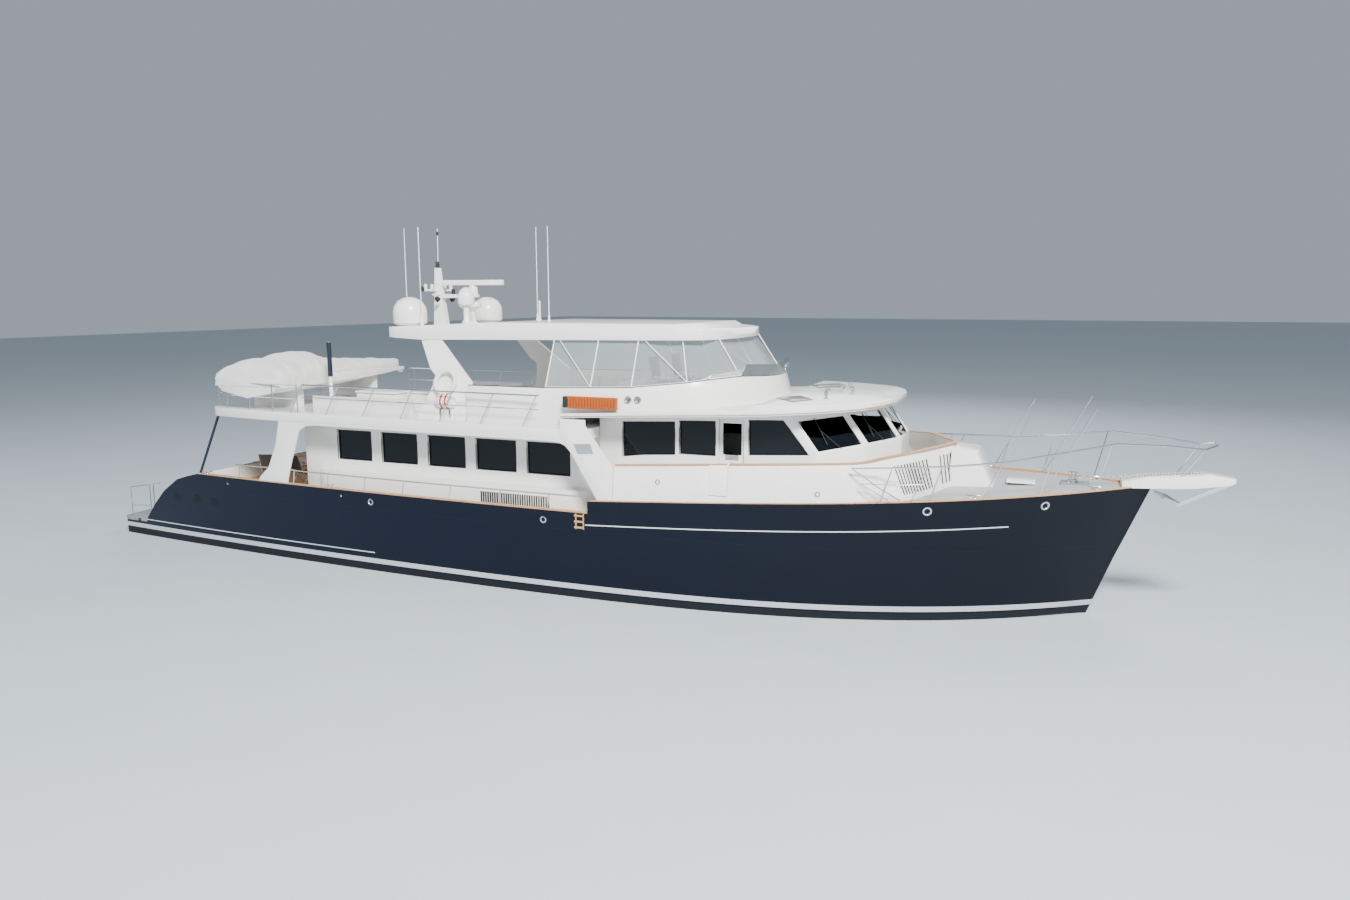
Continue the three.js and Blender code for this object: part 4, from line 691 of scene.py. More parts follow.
# Teak boarding steps hang just under the step in the sheer, and a teak cap is bedded on the
# edge of the foredeck.
steps_down = []
for s in (-1, 1):
    for z in (1.74, 1.88, 2.02):
        steps_down.append(block(1.0, 1.26, s * 3.397, s * 3.416, z, z + 0.045))
    for x in (1.03, 1.23):
        steps_down.append(block(x, x + 0.03, s * 3.394, s * 3.414, 1.72, 2.1))
build("boarding_steps", steps_down, "yacht", teak_cap)
strip_x = np.linspace(1.42, 13.3, 60)
strip = np.column_stack([strip_x, -(half_beam(strip_x) - 0.041), sheer(strip_x) + 0.012])
foredeck_cap = swept(strip, slab(0.07, 0.03))
build("foredeck_cap_rail", [foredeck_cap, mirrored(foredeck_cap)], "yacht", teak_cap)


# ---- swim platform rails ------------------------------------------------------------------
# Removable stainless rails stand in sockets along each side of the platform.

staples = []
for s in (-1, 1):
    y = s * 2.42
    staples.append(tube([(-14.86, y, 0.505), (-14.86, y, 1.33), (-14.82, y, 1.38), (-13.95, y, 1.52),
                         (-13.6, y, 1.59)], 0.019))
    staples.append(tube([(-14.86, y, 0.80), (-13.95, y, 0.88), (-13.62, y, 0.92)], 0.013))
    for x, top in ((-14.05, 1.51), (-13.9, 1.53)):
        staples.append(tube([(x, y, 0.505), (x, y, top)], 0.016))
    for x in (-14.86, -14.05, -13.9):
        staples.append(turned((x, y, 0.502), (0, 0, 1), [(0, 0.045), (0.008, 0.045), (0.014, 0.024),
                                                         (0.03, 0.022)], 14))
build("platform_rails", staples, "yacht", stainless)


# ---- cockpit ------------------------------------------------------------------------------
# Two raked painted poles carry the after corners of the boat deck; a teak table and folding
# chairs with dark woven slings stand on the cockpit sole.

painted_pole, tree, shader, place = new_material("navy_painted_aluminium", Roughness=0.3)
mottle = add_node(tree, "ShaderNodeTexNoise", Vector=place, Scale=20.0).outputs[0]
tone = add_node(tree, "ShaderNodeMix", {"data_type": "RGBA"}, in_0=mottle, in_6=linear("#141c2b"),
                in_7=linear("#1d2738"))
tree.links.new(tone.outputs[2], shader.inputs["Base Color"])
poles = []
for s in (-1, 1):
    poles.append(tube([(-10.80, s * 2.62, 3.838), (-11.36, s * 2.9, 2.152)], 0.036, 12))
build("boat_deck_poles", poles, "yacht", painted_pole)
sling, tree, shader, place = new_material("woven_sling_mesh", Roughness=0.8)
weft = add_node(tree, "ShaderNodeTexChecker", Vector=place, Scale=160.0).outputs[0]
tone = add_node(tree, "ShaderNodeMix", {"data_type": "RGBA"}, in_0=weft, in_6=linear("#2b2622"),
                in_7=linear("#4a423b"))
tree.links.new(tone.outputs[2], shader.inputs["Base Color"])
chair_frames, chair_slings = [], []
for cx, cy, turn in [(-9.75, -1.75, 0.3), (-9.1, 1.5, 3.3), (-10.1, 1.6, 2.6), (-8.8, -1.6, -0.2)]:
    c, s = math.cos(turn), math.sin(turn)
    turned_by = np.array([[c, s, 0], [-s, c, 0], [0, 0, 1]])
    seat = np.array([cx, cy, 1.685])
    place_at = lambda p: (np.asarray(p, float) @ turned_by + seat)
    for x in (-0.26, 0.26):
        chair_frames.append(tube(place_at([(x, -0.28, 0), (x, 0.22, 0.62), (x, 0.24, 0.66)]), 0.014))
        chair_frames.append(tube(place_at([(x, 0.28, 0), (x, -0.18, 0.45), (x, -0.34, 0.98)]), 0.014))
        chair_frames.append(tube(place_at([(x, -0.27, 0.66), (x, 0.26, 0.66)]), 0.018))
    v = np.linspace(0, 1, 12)
    along_seat = np.column_stack([np.zeros(12), 0.22 - 0.42 * v, 0.45 - 0.05 * np.sin(np.pi * v)])
    along_back = np.column_stack([np.zeros(12), -0.19 - 0.15 * v, 0.47 + 0.5 * v])
    for rows in (along_seat, along_back):
        chair_slings.append((place_at(swept(rows, slab(0.48, 0.01))[0]), swept(rows, slab(0.48, 0.01))[1]))
build("cockpit_chair_frames", chair_frames, "yacht", stainless)
build("cockpit_chair_slings", chair_slings, "yacht", sling)
top = [(a * 0.42 * abs(np.cos(t)) ** 0.5, b * 0.95 * abs(np.sin(t)) ** 0.5) for t in np.linspace(0,
        2 * np.pi, 32, endpoint=False)
       for a, b in [(np.sign(np.cos(t)), np.sign(np.sin(t)))]]
table = plate([(-9.45 + x, y, 2.40) for x, y in top], 0.035)
build("cockpit_table", [table, turned((-9.45, 0, 1.685), (0, 0, 1),
                                      [(0, 0.26), (0.02, 0.25), (0.05, 0.07), (0.68, 0.06), (0.72, 0.2)],
                                      20)],
      "yacht", teak_cap)


# ---- saloon trunk louvres -------------------------------------------------------------------
# The engine-room air intakes in the trunk sides are moulded frames with upright dark blades.

blades, frames = [], []
for s in (-1, 1):
    at, out = land("saloon_walls", (-1.0, s * 4, 2.13), (0, -s, 0))
    y = at[1]
    frames.append(block(-2.03, -0.02, y, y + s * 0.012, 2.275, 2.305))
    frames.append(block(-2.03, -0.02, y, y + s * 0.012, 1.955, 1.985))
    for x in np.linspace(-2.0, -0.06, 30):
        blades.append(block(x - 0.012, x + 0.02, y - s * 0.004, y + s * 0.018, 1.985, 2.275))
build("air_intake_blades", blades, "yacht", rubber)
build("air_intake_frames", frames, "yacht", white, bevel=0.004)


# ---- Portuguese bridge fittings ---------------------------------------------------------
# The raked front of the bridge bulwark carries upright black fender bars on each side, braced
# by stainless tubes from the deck edge; drain rings sit in its sides.

foot_x = np.concatenate([cap_foot_x, [8.05, 8.42, 8.68, 8.95, 9.19, 9.46]])
foot_y = np.concatenate([half_beam(cap_foot_x) - 0.012, [2.70, 2.56, 2.30, 1.72, 0.96, 0.30]])
foot = np.column_stack([foot_x, -np.minimum(foot_y, half_beam(foot_x) - 0.012), sheer(foot_x)])
head = np.column_stack([cap_x, -cap_y, cap_z])


def on_bulwark(s, v, off=0.0):
    """A point of the starboard bulwark: between its foot and head lines at station s, a share v
    up from the foot, moved outwards by off."""
    k = np.arange(len(foot))
    f = np.array([np.interp(s, k, foot[:, a]) for a in range(3)])
    h = np.array([np.interp(s, k, head[:, a]) for a in range(3)])
    ahead = np.array([np.interp(s + 0.05, k, foot[:, a]) - np.interp(s - 0.05, k,
                                                                     foot[:, a]) for a in range(3)])
    out = np.cross(h - f, ahead)
    out /= np.linalg.norm(out)
    out *= np.sign(-out[1] + 1.2 * out[0])
    return f + (h - f) * v + out * off


bars = []
for s in np.concatenate([np.linspace(11.55, 13.3, 11), np.linspace(13.95, 14.65, 4)]):
    bars.append(swept([on_bulwark(s, v, 0.012) for v in np.linspace(0.13, 0.80, 6)], slab(0.022, 0.022)))
build("fender_bars", bars + [mirrored(b) for b in bars], "yacht", rubber)
braces = [
    tube([(7.50, -3.0, 3.515), (8.02, -2.99, 3.17), (8.50, -2.93, 2.895)], 0.014),
    tube([(7.66, -3.03, 3.22), (8.04, -3.0, 3.02), (8.26, -2.98, 2.885)], 0.011),
    tube([(7.66, -3.03, 3.22), (8.30, -2.98, 3.23), (8.95, -2.78, 3.25)], 0.010),
    tube([(9.0, -2.68, 3.60), (8.87, -2.75, 3.25), (8.72, -2.86, 2.9)], 0.013),
]
build("bridge_front_braces", braces + [mirrored(b) for b in braces], "yacht", stainless)
drains = []
for s in (-1, 1):
    for x, z in ((3.1, 2.98), (6.75, 2.92)):
        at, out = land("bridge_bulwark", (x, s * 6, z), (0, -s, 0))
        drains.append(turned(at, out, [(-0.003, 0.062), (0.006, 0.06), (0.008, 0.044), (0.001, 0.04),
                                       (-0.002, 0.02)], 18))
build("bulwark_drains", drains, "yacht", stainless)


# ---- forward wing, brow and roof fittings --------------------------------------------------
# A louvred grey vent is let into each forward wing, its slats drawn as bands of painted shade and
# light; the brow carries a flush hatch with a brown lid, two trumpet horns and the navigation lights.

grey_vent, tree, shader, place = new_material("grey_anodised_louvre", Metallic=1.0, Roughness=0.42)
z_of = add_node(tree, "ShaderNodeSeparateXYZ", Vector=place).outputs[2]
slat_relief_and_shade = add_node(tree, "ShaderNodeMath", {"operation": "MULTIPLY"}, in_0=z_of, in_1=40.0).outputs[0]
slat_relief_and_shade = add_node(tree, "ShaderNodeMath", {"operation": "FRACT"}, in_0=slat_relief_and_shade).outputs[0]
# painted shade and light: each 25 mm band of the vent face is painted dark at its foot and light at its top, drawing
# the slats in colour on a flat plate; the same ramp drives the bump
tone = add_node(tree, "ShaderNodeMix", {"data_type": "RGBA"}, in_0=slat_relief_and_shade, in_6=linear("#6f7376"),
                in_7=linear("#b4b8ba"))
tree.links.new(tone.outputs[2], shader.inputs["Base Color"])
bump = add_node(tree, "ShaderNodeBump", Strength=0.6, Distance=0.01, Height=slat_relief_and_shade)
tree.links.new(bump.outputs[0], shader.inputs["Normal"])
vents = []
for s in (-1, 1):
    corners = []
    for x, z in ((0.99, 3.75), (1.44, 3.78), (1.51, 3.55), (1.10, 3.52)):
        at, out = land("side_screen_starboard" if s < 0 else "side_screen_port", (x, s * 6, z), (0, -s, 0))
        corners.append(at + out * 0.001)
    vents.append(plate(corners[::s], 0.008))
build("wing_vents", vents, "yacht", grey_vent)
brow_lid, tree, shader, place = new_material("brown_tinted_acrylic", Roughness=0.2)
haze = add_node(tree, "ShaderNodeTexNoise", Vector=place, Scale=4.0).outputs[0]
tone = add_node(tree, "ShaderNodeMix", {"data_type": "RGBA"}, in_0=haze, in_6=linear("#5d554d"),
                in_7=linear("#7c736a"))
tree.links.new(tone.outputs[2], shader.inputs["Base Color"])
lids = []
for s in (-1, 1):
    c = np.array([(5.42, 1.74), (5.83, 1.09), (6.32, 1.85), (6.00, 2.45)])
    lids.append(plate([(x, s * y, 4.848 + 0.003 * (x - 5.4)) for x, y in c[::s]], 0.012))
build("brow_hatch_lids", lids, "yacht", brow_lid, bevel=0.003)
horns = []
for y in (0.33, 0.55):
    horns.append(turned((6.05, y, 4.93), (1, 0, 0.05), [(0, 0.03), (0.05, 0.034), (0.28, 0.022),
                                                        (0.42, 0.035), (0.5, 0.062), (0.49, 0.05),
                                                        (0.4, 0.02)], 18))
    horns.append(block(6.12, 6.18, y - 0.02, y + 0.02, 4.845, 4.92))
for x, y in ((6.52, -1.40), (6.52, 1.40), (6.85, 0.0)):
    horns.append(turned((x, y, 4.848), (0, 0, 1), [(0, 0.06), (0.012, 0.058), (0.02, 0.03), (0.06, 0.028),
                                                   (0.075, 0.05), (0.14, 0.052), (0.16, 0.03)], 18))
build("horns_and_lamps", horns, "yacht", stainless)


# ---- bridge side fittings --------------------------------------------------------------
# An orange slatted lifesling box and two round loudspeakers hang on the flybridge coaming; a
# louvred vent and a round latch sit in each pilothouse door, and wipers on the front panes.

orange, tree, shader, place = new_material("varnished_orange_slats", Roughness=0.4)
grain_at = add_node(tree, "ShaderNodeMapping", Vector=place, Scale=(1.0, 6.0, 20.0))
grain = add_node(tree, "ShaderNodeTexNoise", Vector=grain_at.outputs[0], Scale=9.0, Detail=4.0).outputs[0]
tone = add_node(tree, "ShaderNodeMix", {"data_type": "RGBA"}, in_0=grain, in_6=linear("#8a3606"),
                in_7=linear("#c2601a"))
tree.links.new(tone.outputs[2], shader.inputs["Base Color"])
slats, ends, speakers = [], [], []
for s in (-1,):
    z0, z1 = 4.575, 4.86
    for x in np.arange(0.80, 2.04, 0.075):
        slats.append(block(x, x + 0.058, s * 3.17, s * 3.26, z0, z1))
    slats.append(block(0.78, 2.06, s * 3.15, s * 3.245, z0 + 0.02, z0 + 0.06))
    slats.append(block(0.78, 2.06, s * 3.15, s * 3.245, z1 - 0.06, z1 - 0.02))
    ends.append(block(0.66, 0.78, s * 3.15, s * 3.255, z0 + 0.01, z1 - 0.01))
    for x in (0.9, 1.9):
        ends.append(block(x, x + 0.05, s * 2.98, s * 3.17, z0 + 0.06, z0 + 0.12))
    for x in (2.24, 2.46):
        at, out = land("flybridge_coaming", (x, s * 6, 4.80), (0, -s, 0))
        speakers.append(turned(at, out, [(-0.01, 0.085), (0.03, 0.085), (0.045, 0.07), (0.03, 0.055),
                                         (0.022, 0.02), (0.03, 0.004)], 20))
build("lifesling_box", slats, "yacht", orange, bevel=0.006)
build("lifesling_box_ends", ends, "yacht", rubber, bevel=0.008)
# the loudspeakers carry the same painted shade bands as the wing vents
build("loudspeakers", speakers, "yacht", grey_vent)
for s, body in ((-1, "starboard"), (1, "port")):
    at, out = land("pilothouse_door_" + body, (4.62, s * 6, 3.38), (0, -s, 0))
    vent = [turned(at, out, [(-0.006, 0.034), (0.0015, 0.034), (0.002, 0.026), (-0.002, 0.022)], 20)]
    for k in range(5):
        z = 3.46 + 0.028 * k
        vent.append(block(4.46, 4.78, at[1] - s * 0.004, at[1] + s * 0.002, z, z + 0.017))
    build("door_vent_" + body, vent, "pilothouse_door_" + body, rubber)
base = np.array([[6.6, 2.6, 3.72], [7.55, 1.7, 3.85], [8.16, 0.65, 3.9], [8.16, -0.65, 3.9]])
above = np.array([[5.808, 2.6, 4.8], [6.881, 1.7, 4.8], [7.504, 0.65, 4.8], [7.504, -0.65, 4.8]])


def on_pane(k, s, v, off=0.0):
    """A point of front pane k, a share s across and v up, moved outwards by off."""
    b = base[k] * (1 - s) + base[k + 1] * s
    a = above[k] * (1 - s) + above[k + 1] * s
    out = np.cross(base[k + 1] - base[k], above[k] - base[k])
    out *= np.sign(out[0]) / np.linalg.norm(out)
    return b * (1 - v) + a * v + out * off


wipers = []
for k in range(3):
    for flip_side in ((1, -1) if k < 2 else (1,)):
        arm = [on_pane(k, 0.5, 0.02, 0.03), on_pane(k, 0.42, 0.2, 0.045), on_pane(k, 0.34, 0.42, 0.03)]
        blade = [on_pane(k, 0.30, 0.14, 0.018), on_pane(k, 0.34, 0.42, 0.022), on_pane(k, 0.38, 0.70, 0.018)]
        for part in (tube(arm, 0.008, 6), tube(blade, 0.009, 6)):
            wipers.append(part if flip_side > 0 else mirrored(part))
build("window_wipers", wipers, "yacht", rubber)


# ---- flybridge rim ---------------------------------------------------------------------
# A dark awning track runs along the coaming's top edge, and two stainless grab rails stand on
# its forward corners.

rim_top = np.array([(-2.18, 2.9, 4.98), (0, 2.9, 4.99), (1.2, 2.89, 5.03), (2.25, 2.87, 5.07),
                    (3.56, 2.64, 5.20), (4.10, 2.28, 5.27),
                    (4.55, 1.7, 5.31), (4.90, 0.9, 5.27), (5.02, 0.28, 5.25)])
rim = np.concatenate([np.linspace(rim_top[k], rim_top[k + 1], 5)[:-1] for k in range(8)] + [rim_top[-1:]])
rim = rim * [1, -1, 1] + [0, 0.012, 0.010]
rim = np.concatenate([rim, (rim * [1, -1, 1])[::-1]])
build("awning_track", [swept(rim, slab(0.022, 0.02))], "yacht", rubber)
grabs = []
for a in ([(3.95, 2.43, 5.25), (4.05, 2.36, 5.40), (4.55, 1.74, 5.47), (4.62, 1.62, 5.33)],
          [(4.68, 1.46, 5.32), (4.74, 1.36, 5.46), (4.98, 0.72, 5.43), (4.99, 0.66, 5.29)]):
    grabs.append(tube(np.array(a) * [1, -1, 1], 0.013))
    grabs.append(tube(a, 0.013))
build("coaming_grab_rails", grabs, "yacht", stainless)


# ---- tender cover ----------------------------------------------------------------------
# One sheet of white acrylic canvas is thrown over the tender, lifted by the console and seats
# inside, and drawn down over the gunwales by a shock cord in its hem.


def cover_points(t, s):
    """The draped sheet: t runs along the boat, s across it. The middle eight tenths of s arches
    over the boat as a sine and cosine pair, and the rest hangs down outside the gunwale; long
    sags lie between the lumps and short gathers ripple the hem."""
    y = -3.06 + 6.27 * t
    width = 1.125 * np.minimum(1, np.sqrt(np.maximum(0.012, 1 - np.clip(t, 0, 1) ** 4.2))) + 0.016
    gunwale = 4.96 + 0.15 * t**2
    crest = np.interp(t, [0, 0.04, 0.11, 0.19, 0.24, 0.31, 0.42, 0.62, 0.8, 0.92, 1.0],
                      [5.06, 5.36, 5.46, 5.32, 5.55, 5.585, 5.36, 5.27, 5.19, 5.14, 5.13])
    a = np.clip(np.abs(s) / 0.8, 0, 1) * np.pi / 2
    x = np.sign(s) * width * np.sin(a) ** 0.9
    z = gunwale + (crest - gunwale) * np.cos(a) ** 0.8
    sag = np.sin(2 * a) * (0.035 * np.sin(5.1 * y + 0.7) * np.cos(2.3 * x) + 0.018 * np.sin(11 * y + 3 * x))
    hang = np.clip((np.abs(s) - 0.8) / 0.2, 0, 1)
    z = z + sag - 0.26 * hang
    x = x + np.sign(s) * hang * (0.006 + 0.014 * (1 + np.sin(31 * y)) / 2)
    return x - 9.25, y, z


t, s = np.meshgrid(np.linspace(0, 1, 110), np.linspace(-1, 1, 72), indexing="ij")
x, y, z = cover_points(t, s)
z[0] = np.minimum(z[0], 4.72)
z[-1] = np.minimum(z[-1], 4.98)
x[0] = -9.25 + (x[0] + 9.25) * 0.985
rows, columns = t.shape
i, j = np.meshgrid(np.arange(rows - 1), np.arange(columns - 1), indexing="ij")
faces = np.stack([i * columns + j, (i + 1) * columns + j, (i + 1) * columns + j + 1, i * columns + j + 1],
                 -1).reshape(-1, 4)
points = np.stack([x, y, z], -1)
cover = mesh_piece("tender_canvas", points, faces.tolist(), "yacht", canvas)
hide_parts("tender_cover")
straps = []
for t0 in (0.14, 0.36, 0.68, 0.9):
    s0 = np.linspace(-0.98, 0.98, 60)
    x, y, z = cover_points(np.full(60, t0), s0)
    straps.append(swept(np.stack([x, y, z + 0.006], 1), slab(0.04, 0.006)))
webbing, tree, shader, place = new_material("grey_webbing", Roughness=0.85)
rib = add_node(tree, "ShaderNodeTexWave", Vector=place, Scale=120.0).outputs[1]
tone = add_node(tree, "ShaderNodeMix", {"data_type": "RGBA"}, in_0=rib, in_6=linear("#c4c2bc"),
                in_7=linear("#dddbd5"))
tree.links.new(tone.outputs[2], shader.inputs["Base Color"])
build("tender_straps", straps, "yacht", webbing)


# ---- flybridge seating ------------------------------------------------------------------
# An L-shaped settee: a moulded white base with separate foam cushions covered in pale outdoor
# cloth, and two dark helm chairs at each console.


def cushion(x0, x1, y0, y1, z0, z1, tilt=0.0):
    """A stuffed cushion: over a square grid, its outline pulls in by a thirtieth between the
    corners, and its faces swell from the mid-height seam as the 0.35th power of how far a point
    is from the edge. The underside swells down from the seam too, less far than the top."""
    u, v = np.meshgrid(np.linspace(-1, 1, 27), np.linspace(-1, 1, 27), indexing="ij")
    swell = ((1 - np.abs(u) ** 5) * (1 - np.abs(v) ** 5)) ** 0.35
    x = (x0 + x1) / 2 + (x1 - x0) / 2 * u * (1 - 0.034 * (1 - v**2))
    y = (y0 + y1) / 2 + (y1 - y0) / 2 * v * (1 - 0.034 * (1 - u**2))
    middle, h = z0 + (z1 - z0) * 0.45, z1 - z0
    crown = middle + h * 0.55 * swell * (0.86 + 0.14 * (1 - u**2) * (1 - v**2))
    under = middle - h * 0.45 * swell
    points = np.concatenate([np.stack([x, y, crown], -1).reshape(-1, 3),
                             np.stack([x, y, under], -1).reshape(-1, 3)])
    i, j = np.meshgrid(np.arange(26), np.arange(26), indexing="ij")
    top = np.stack([i * 27 + j, (i + 1) * 27 + j, (i + 1) * 27 + j + 1, i * 27 + j + 1], -1).reshape(-1, 4)
    return points, top.tolist() + (top[:, ::-1] + 27 * 27).tolist()


base_parts = [block(-1.9, 0.4, 1.76, 2.5, 4.082, 4.36), block(-1.9, 0.4, 2.44, 2.5, 4.082, 4.84),
              block(-0.3, 0.4, 0.6, 1.76, 4.082, 4.36), block(0.34, 0.4, 0.6, 2.44, 4.082, 4.84)]
settee = build("settee_base", base_parts, "yacht", white, bevel=0.012)
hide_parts("flybridge_settee")
seats = [(-1.885, -1.115, 1.77, 2.30), (-1.105, -0.335, 1.77, 2.30), (-0.285, 0.205, 1.77, 2.30),
         (-0.285, 0.205, 1.20, 1.75), (-0.285, 0.205, 0.62, 1.18)]
for k, (a, b, c, d) in enumerate(seats):
    pad = build(f"settee_seat_cushion_{k + 1}", [cushion(a, b, c, d, 4.363, 4.495)], "yacht",
                cloth)
for k, (a, b) in enumerate([(-1.885, -1.115), (-1.105, -0.335), (-0.285, 0.205)]):
    points, faces = cushion(a, b, 4.50, 4.86, 2.31, 2.435)
    pad = build(f"settee_back_cushion_{k + 1}", [(points[:, [0, 2, 1]], faces)], "yacht",
                cloth)
for k, (c, d) in enumerate([(1.20, 1.75), (0.62, 1.18)]):
    points, faces = cushion(c, d, 4.50, 4.86, 0.215, 0.335)
    pad = build(f"settee_end_cushion_{k + 1}", [(points[:, [2, 0, 1]], faces)], "yacht",
                cloth)
vinyl, tree, shader, place = new_material("charcoal_marine_vinyl", Roughness=0.5)
pores = add_node(tree, "ShaderNodeTexVoronoi", Vector=place, Scale=350.0).outputs["Distance"]
tone = add_node(tree, "ShaderNodeMix", {"data_type": "RGBA"}, in_0=pores, in_6=linear("#2c3036"),
                in_7=linear("#40464e"))
tree.links.new(tone.outputs[2], shader.inputs["Base Color"])
bump = add_node(tree, "ShaderNodeBump", Strength=0.3, Distance=0.001, Height=pores)
tree.links.new(bump.outputs[0], shader.inputs["Normal"])
pedestals = []
for name, cx, cy, floor_z, lift in [("fly_starboard", 2.3, -0.75, 4.535, 0.42),
                                    ("fly_port", 2.3, 0.75, 4.535, 0.42),
                                    ("helm_starboard", 5.35, -0.65, 2.72, 0.52),
                                    ("helm_port", 5.35, 0.65, 2.72, 0.52)]:
    z = floor_z + lift
    pedestals.append(turned((cx, cy, floor_z), (0, 0, 1), [(0, 0.19), (0.02, 0.185), (0.04, 0.06),
                                                           (lift - 0.04, 0.055), (lift - 0.005, 0.13)], 20))
    for s in (-1, 1):
        pedestals.append(tube([(cx - 0.22, cy + s * 0.28, z + 0.22), (cx + 0.18, cy + s * 0.28, z + 0.22),
                               (cx + 0.2, cy + s * 0.27, z + 0.05)], 0.018))
    seat = build("chair_seat_" + name, [cushion(cx - 0.25, cx + 0.26, cy - 0.26, cy + 0.26, z, z + 0.13)],
                 "yacht", vinyl)
    points, faces = cushion(cy - 0.25, cy + 0.25, z + 0.13, z + 0.72, -0.06, 0.06)
    points = points[:, [2, 0, 1]] + [cx - 0.25, 0, 0]
    points[:, 0] -= (points[:, 2] - z) * 0.16
    back = build("chair_back_" + name, [(points, faces)], "yacht", vinyl)
build("chair_pedestals", pedestals, "yacht", stainless)


# ---- helms ----------------------------------------------------------------------------
# Each helm has a stainless wheel with three spokes, throttle levers and dark glass displays
# set in the sloping dash.


def wheel(centre, axis, radius):
    """A ring, its hub and three spokes, square to an axis."""
    centre, axis = np.asarray(centre, float), np.asarray(axis, float) / np.linalg.norm(axis)
    one = np.cross(axis, [0, 1.0, 0])
    one /= np.linalg.norm(one)
    two = np.cross(axis, one)
    t = np.linspace(0, 2 * np.pi, 37)[:-1]
    ring = centre + radius * (np.cos(t)[:, None] * one + np.sin(t)[:, None] * two)
    parts = [swept(ring, circle(0.014, 8), closed=True), turned(centre - axis * 0.14, axis,
                                                                [(0, 0.03), (0.12, 0.03), (0.15, 0.045),
                                                                 (0.17, 0.03)], 16)]
    for a in (0.5, 2.6, 4.7):
        parts.append(tube([centre, centre + radius * (math.cos(a) * one + math.sin(a) * two)], 0.009))
    return parts


wheels = wheel((3.03, -0.75, 5.02), (-1, 0, 0.35), 0.19) + wheel((6.03, -0.65, 3.22), (-1, 0, 0.3), 0.24)
for x, y, z in ((3.4, -0.25, 5.16), (6.4, -0.15, 3.42)):
    for s in (-0.03, 0.03):
        wheels.append(tube([(x, y + s, z - 0.01), (x + 0.06, y + s, z + 0.14)], 0.008))
        wheels.append(turned((x + 0.06, y + s, z + 0.13), (0.3, 0, 1),
                             [(0, 0.008), (0.01, 0.018), (0.03, 0.018), (0.04, 0.006)], 12))
build("helm_wheels", wheels, "yacht", stainless)
display, tree, shader, place = new_material("dark_glass_display", Roughness=0.08)
smear = add_node(tree, "ShaderNodeTexNoise", Vector=place, Scale=12.0).outputs[0]
tone = add_node(tree, "ShaderNodeMix", {"data_type": "RGBA"}, in_0=smear, in_6=linear("#0b0e12"),
                in_7=linear("#171c22"))
tree.links.new(tone.outputs[2], shader.inputs["Base Color"])
screens = []
for y0, y1 in ((-1.35, -0.95), (-0.45, 0.05), (0.25, 0.75), (0.9, 1.35)):
    screens.append(plate([(3.22, y0, 5.056), (3.22, y1, 5.056), (3.58, y1, 5.228), (3.58, y0, 5.228)][::-1],
                         -0.012))
for y0, y1 in ((-1.05, -0.55), (-0.45, 0.05), (0.15, 0.65)):
    screens.append(plate([(6.2, y0, 3.285), (6.2, y1, 3.285), (6.6, y1, 3.532), (6.6, y0, 3.532)][::-1],
                         -0.012))
build("helm_displays", screens, "yacht", display)


# ---- mast and hardtop gear -----------------------------------------------------------------
# A small radome on a pedestal, lamps, a spreader with aerials and a masthead staff are bolted
# to the white mast; whip aerials in white glass fibre stand on ratchet feet.

gear = [
    turned((-3.95, 0.0, 6.42), (0, 0, 1), [(0, 0.2), (0.03, 0.19), (0.06, 0.15), (0.36, 0.13), (0.42, 0.24),
                                           (0.47, 0.31), (0.53, 0.32), (0.60, 0.30), (0.63, 0.18)], 28),
    turned((-3.55, -0.8, 6.45), (0, 0, 1), [(0, 0.14), (0.03, 0.13), (0.1, 0.08), (0.46, 0.08), (0.5, 0.2),
                                            (0.56, 0.23), (0.76, 0.22), (0.88, 0.16), (0.95, 0.07),
                                            (0.97, 0.01)], 28),
    tube([(-4.98, 0, 7.94), (-4.96, 0, 9.05)], 0.011),
    tube([(-4.1, -2.05, 6.40), (-4.1, -2.06, 8.93)], 0.012),
    tube([(-5.0, -0.62, 7.34), (-5.0, 0.62, 7.34)], 0.03),
    tube([(-4.9, -0.42, 7.22), (-4.9, 0.42, 7.22)], 0.022),
]
for y in (-0.6, -0.3, 0.3, 0.6):
    gear.append(turned((-5.0, y, 7.36), (0, 0, 1), [(0, 0.04), (0.02, 0.05), (0.12, 0.05), (0.15, 0.02)], 14))
for x, y in ((-2.15, 0.6), (-0.9, -1.0), (-4.1, -2.05), (-2.15, 0.72)):
    gear.append(turned((x, y, 6.40), (0, 0, 1), [(0, 0.05), (0.14, 0.045), (0.17, 0.03), (0.3, 0.022)], 14))
build("mast_aerials", gear, "yacht", white)
lamps = [turned((-5.0, 0, 7.965), (0, 0, 1), [(0, 0.05), (0.03, 0.055), (0.14, 0.055), (0.18, 0.03)], 16),
         turned((-4.99, -0.75, 7.30), (0, 0, 1), [(0, 0.04), (0.12, 0.045), (0.15, 0.02)], 14),
         turned((-4.5, 0.0, 7.225), (0, 0, 1), [(0, 0.05), (0.03, 0.05), (0.13, 0.05), (0.16, 0.02)], 14)]
for y in (-0.35, 0.35):
    lamps.append(turned((-4.85, y, 7.14), (0.6, 0, -0.5), [(0, 0.05), (0.05, 0.07), (0.12, 0.075),
                                                           (0.125, 0.06)], 16))
lamps.append(turned((-4.965, 0, 8.86), (0, 0, 1), [(0, 0.02), (0.02, 0.03), (0.09, 0.03), (0.11, 0.01)], 12))
build("mast_lamps", lamps, "yacht", rubber)


# ---- boat deck gear -----------------------------------------------------------------------
# A rail closes the after boat deck, with a gap to port for launching; a life ring and a raft
# canister hang at the arch foot, and deck boxes and the davit's dark sleeve stand amidships.

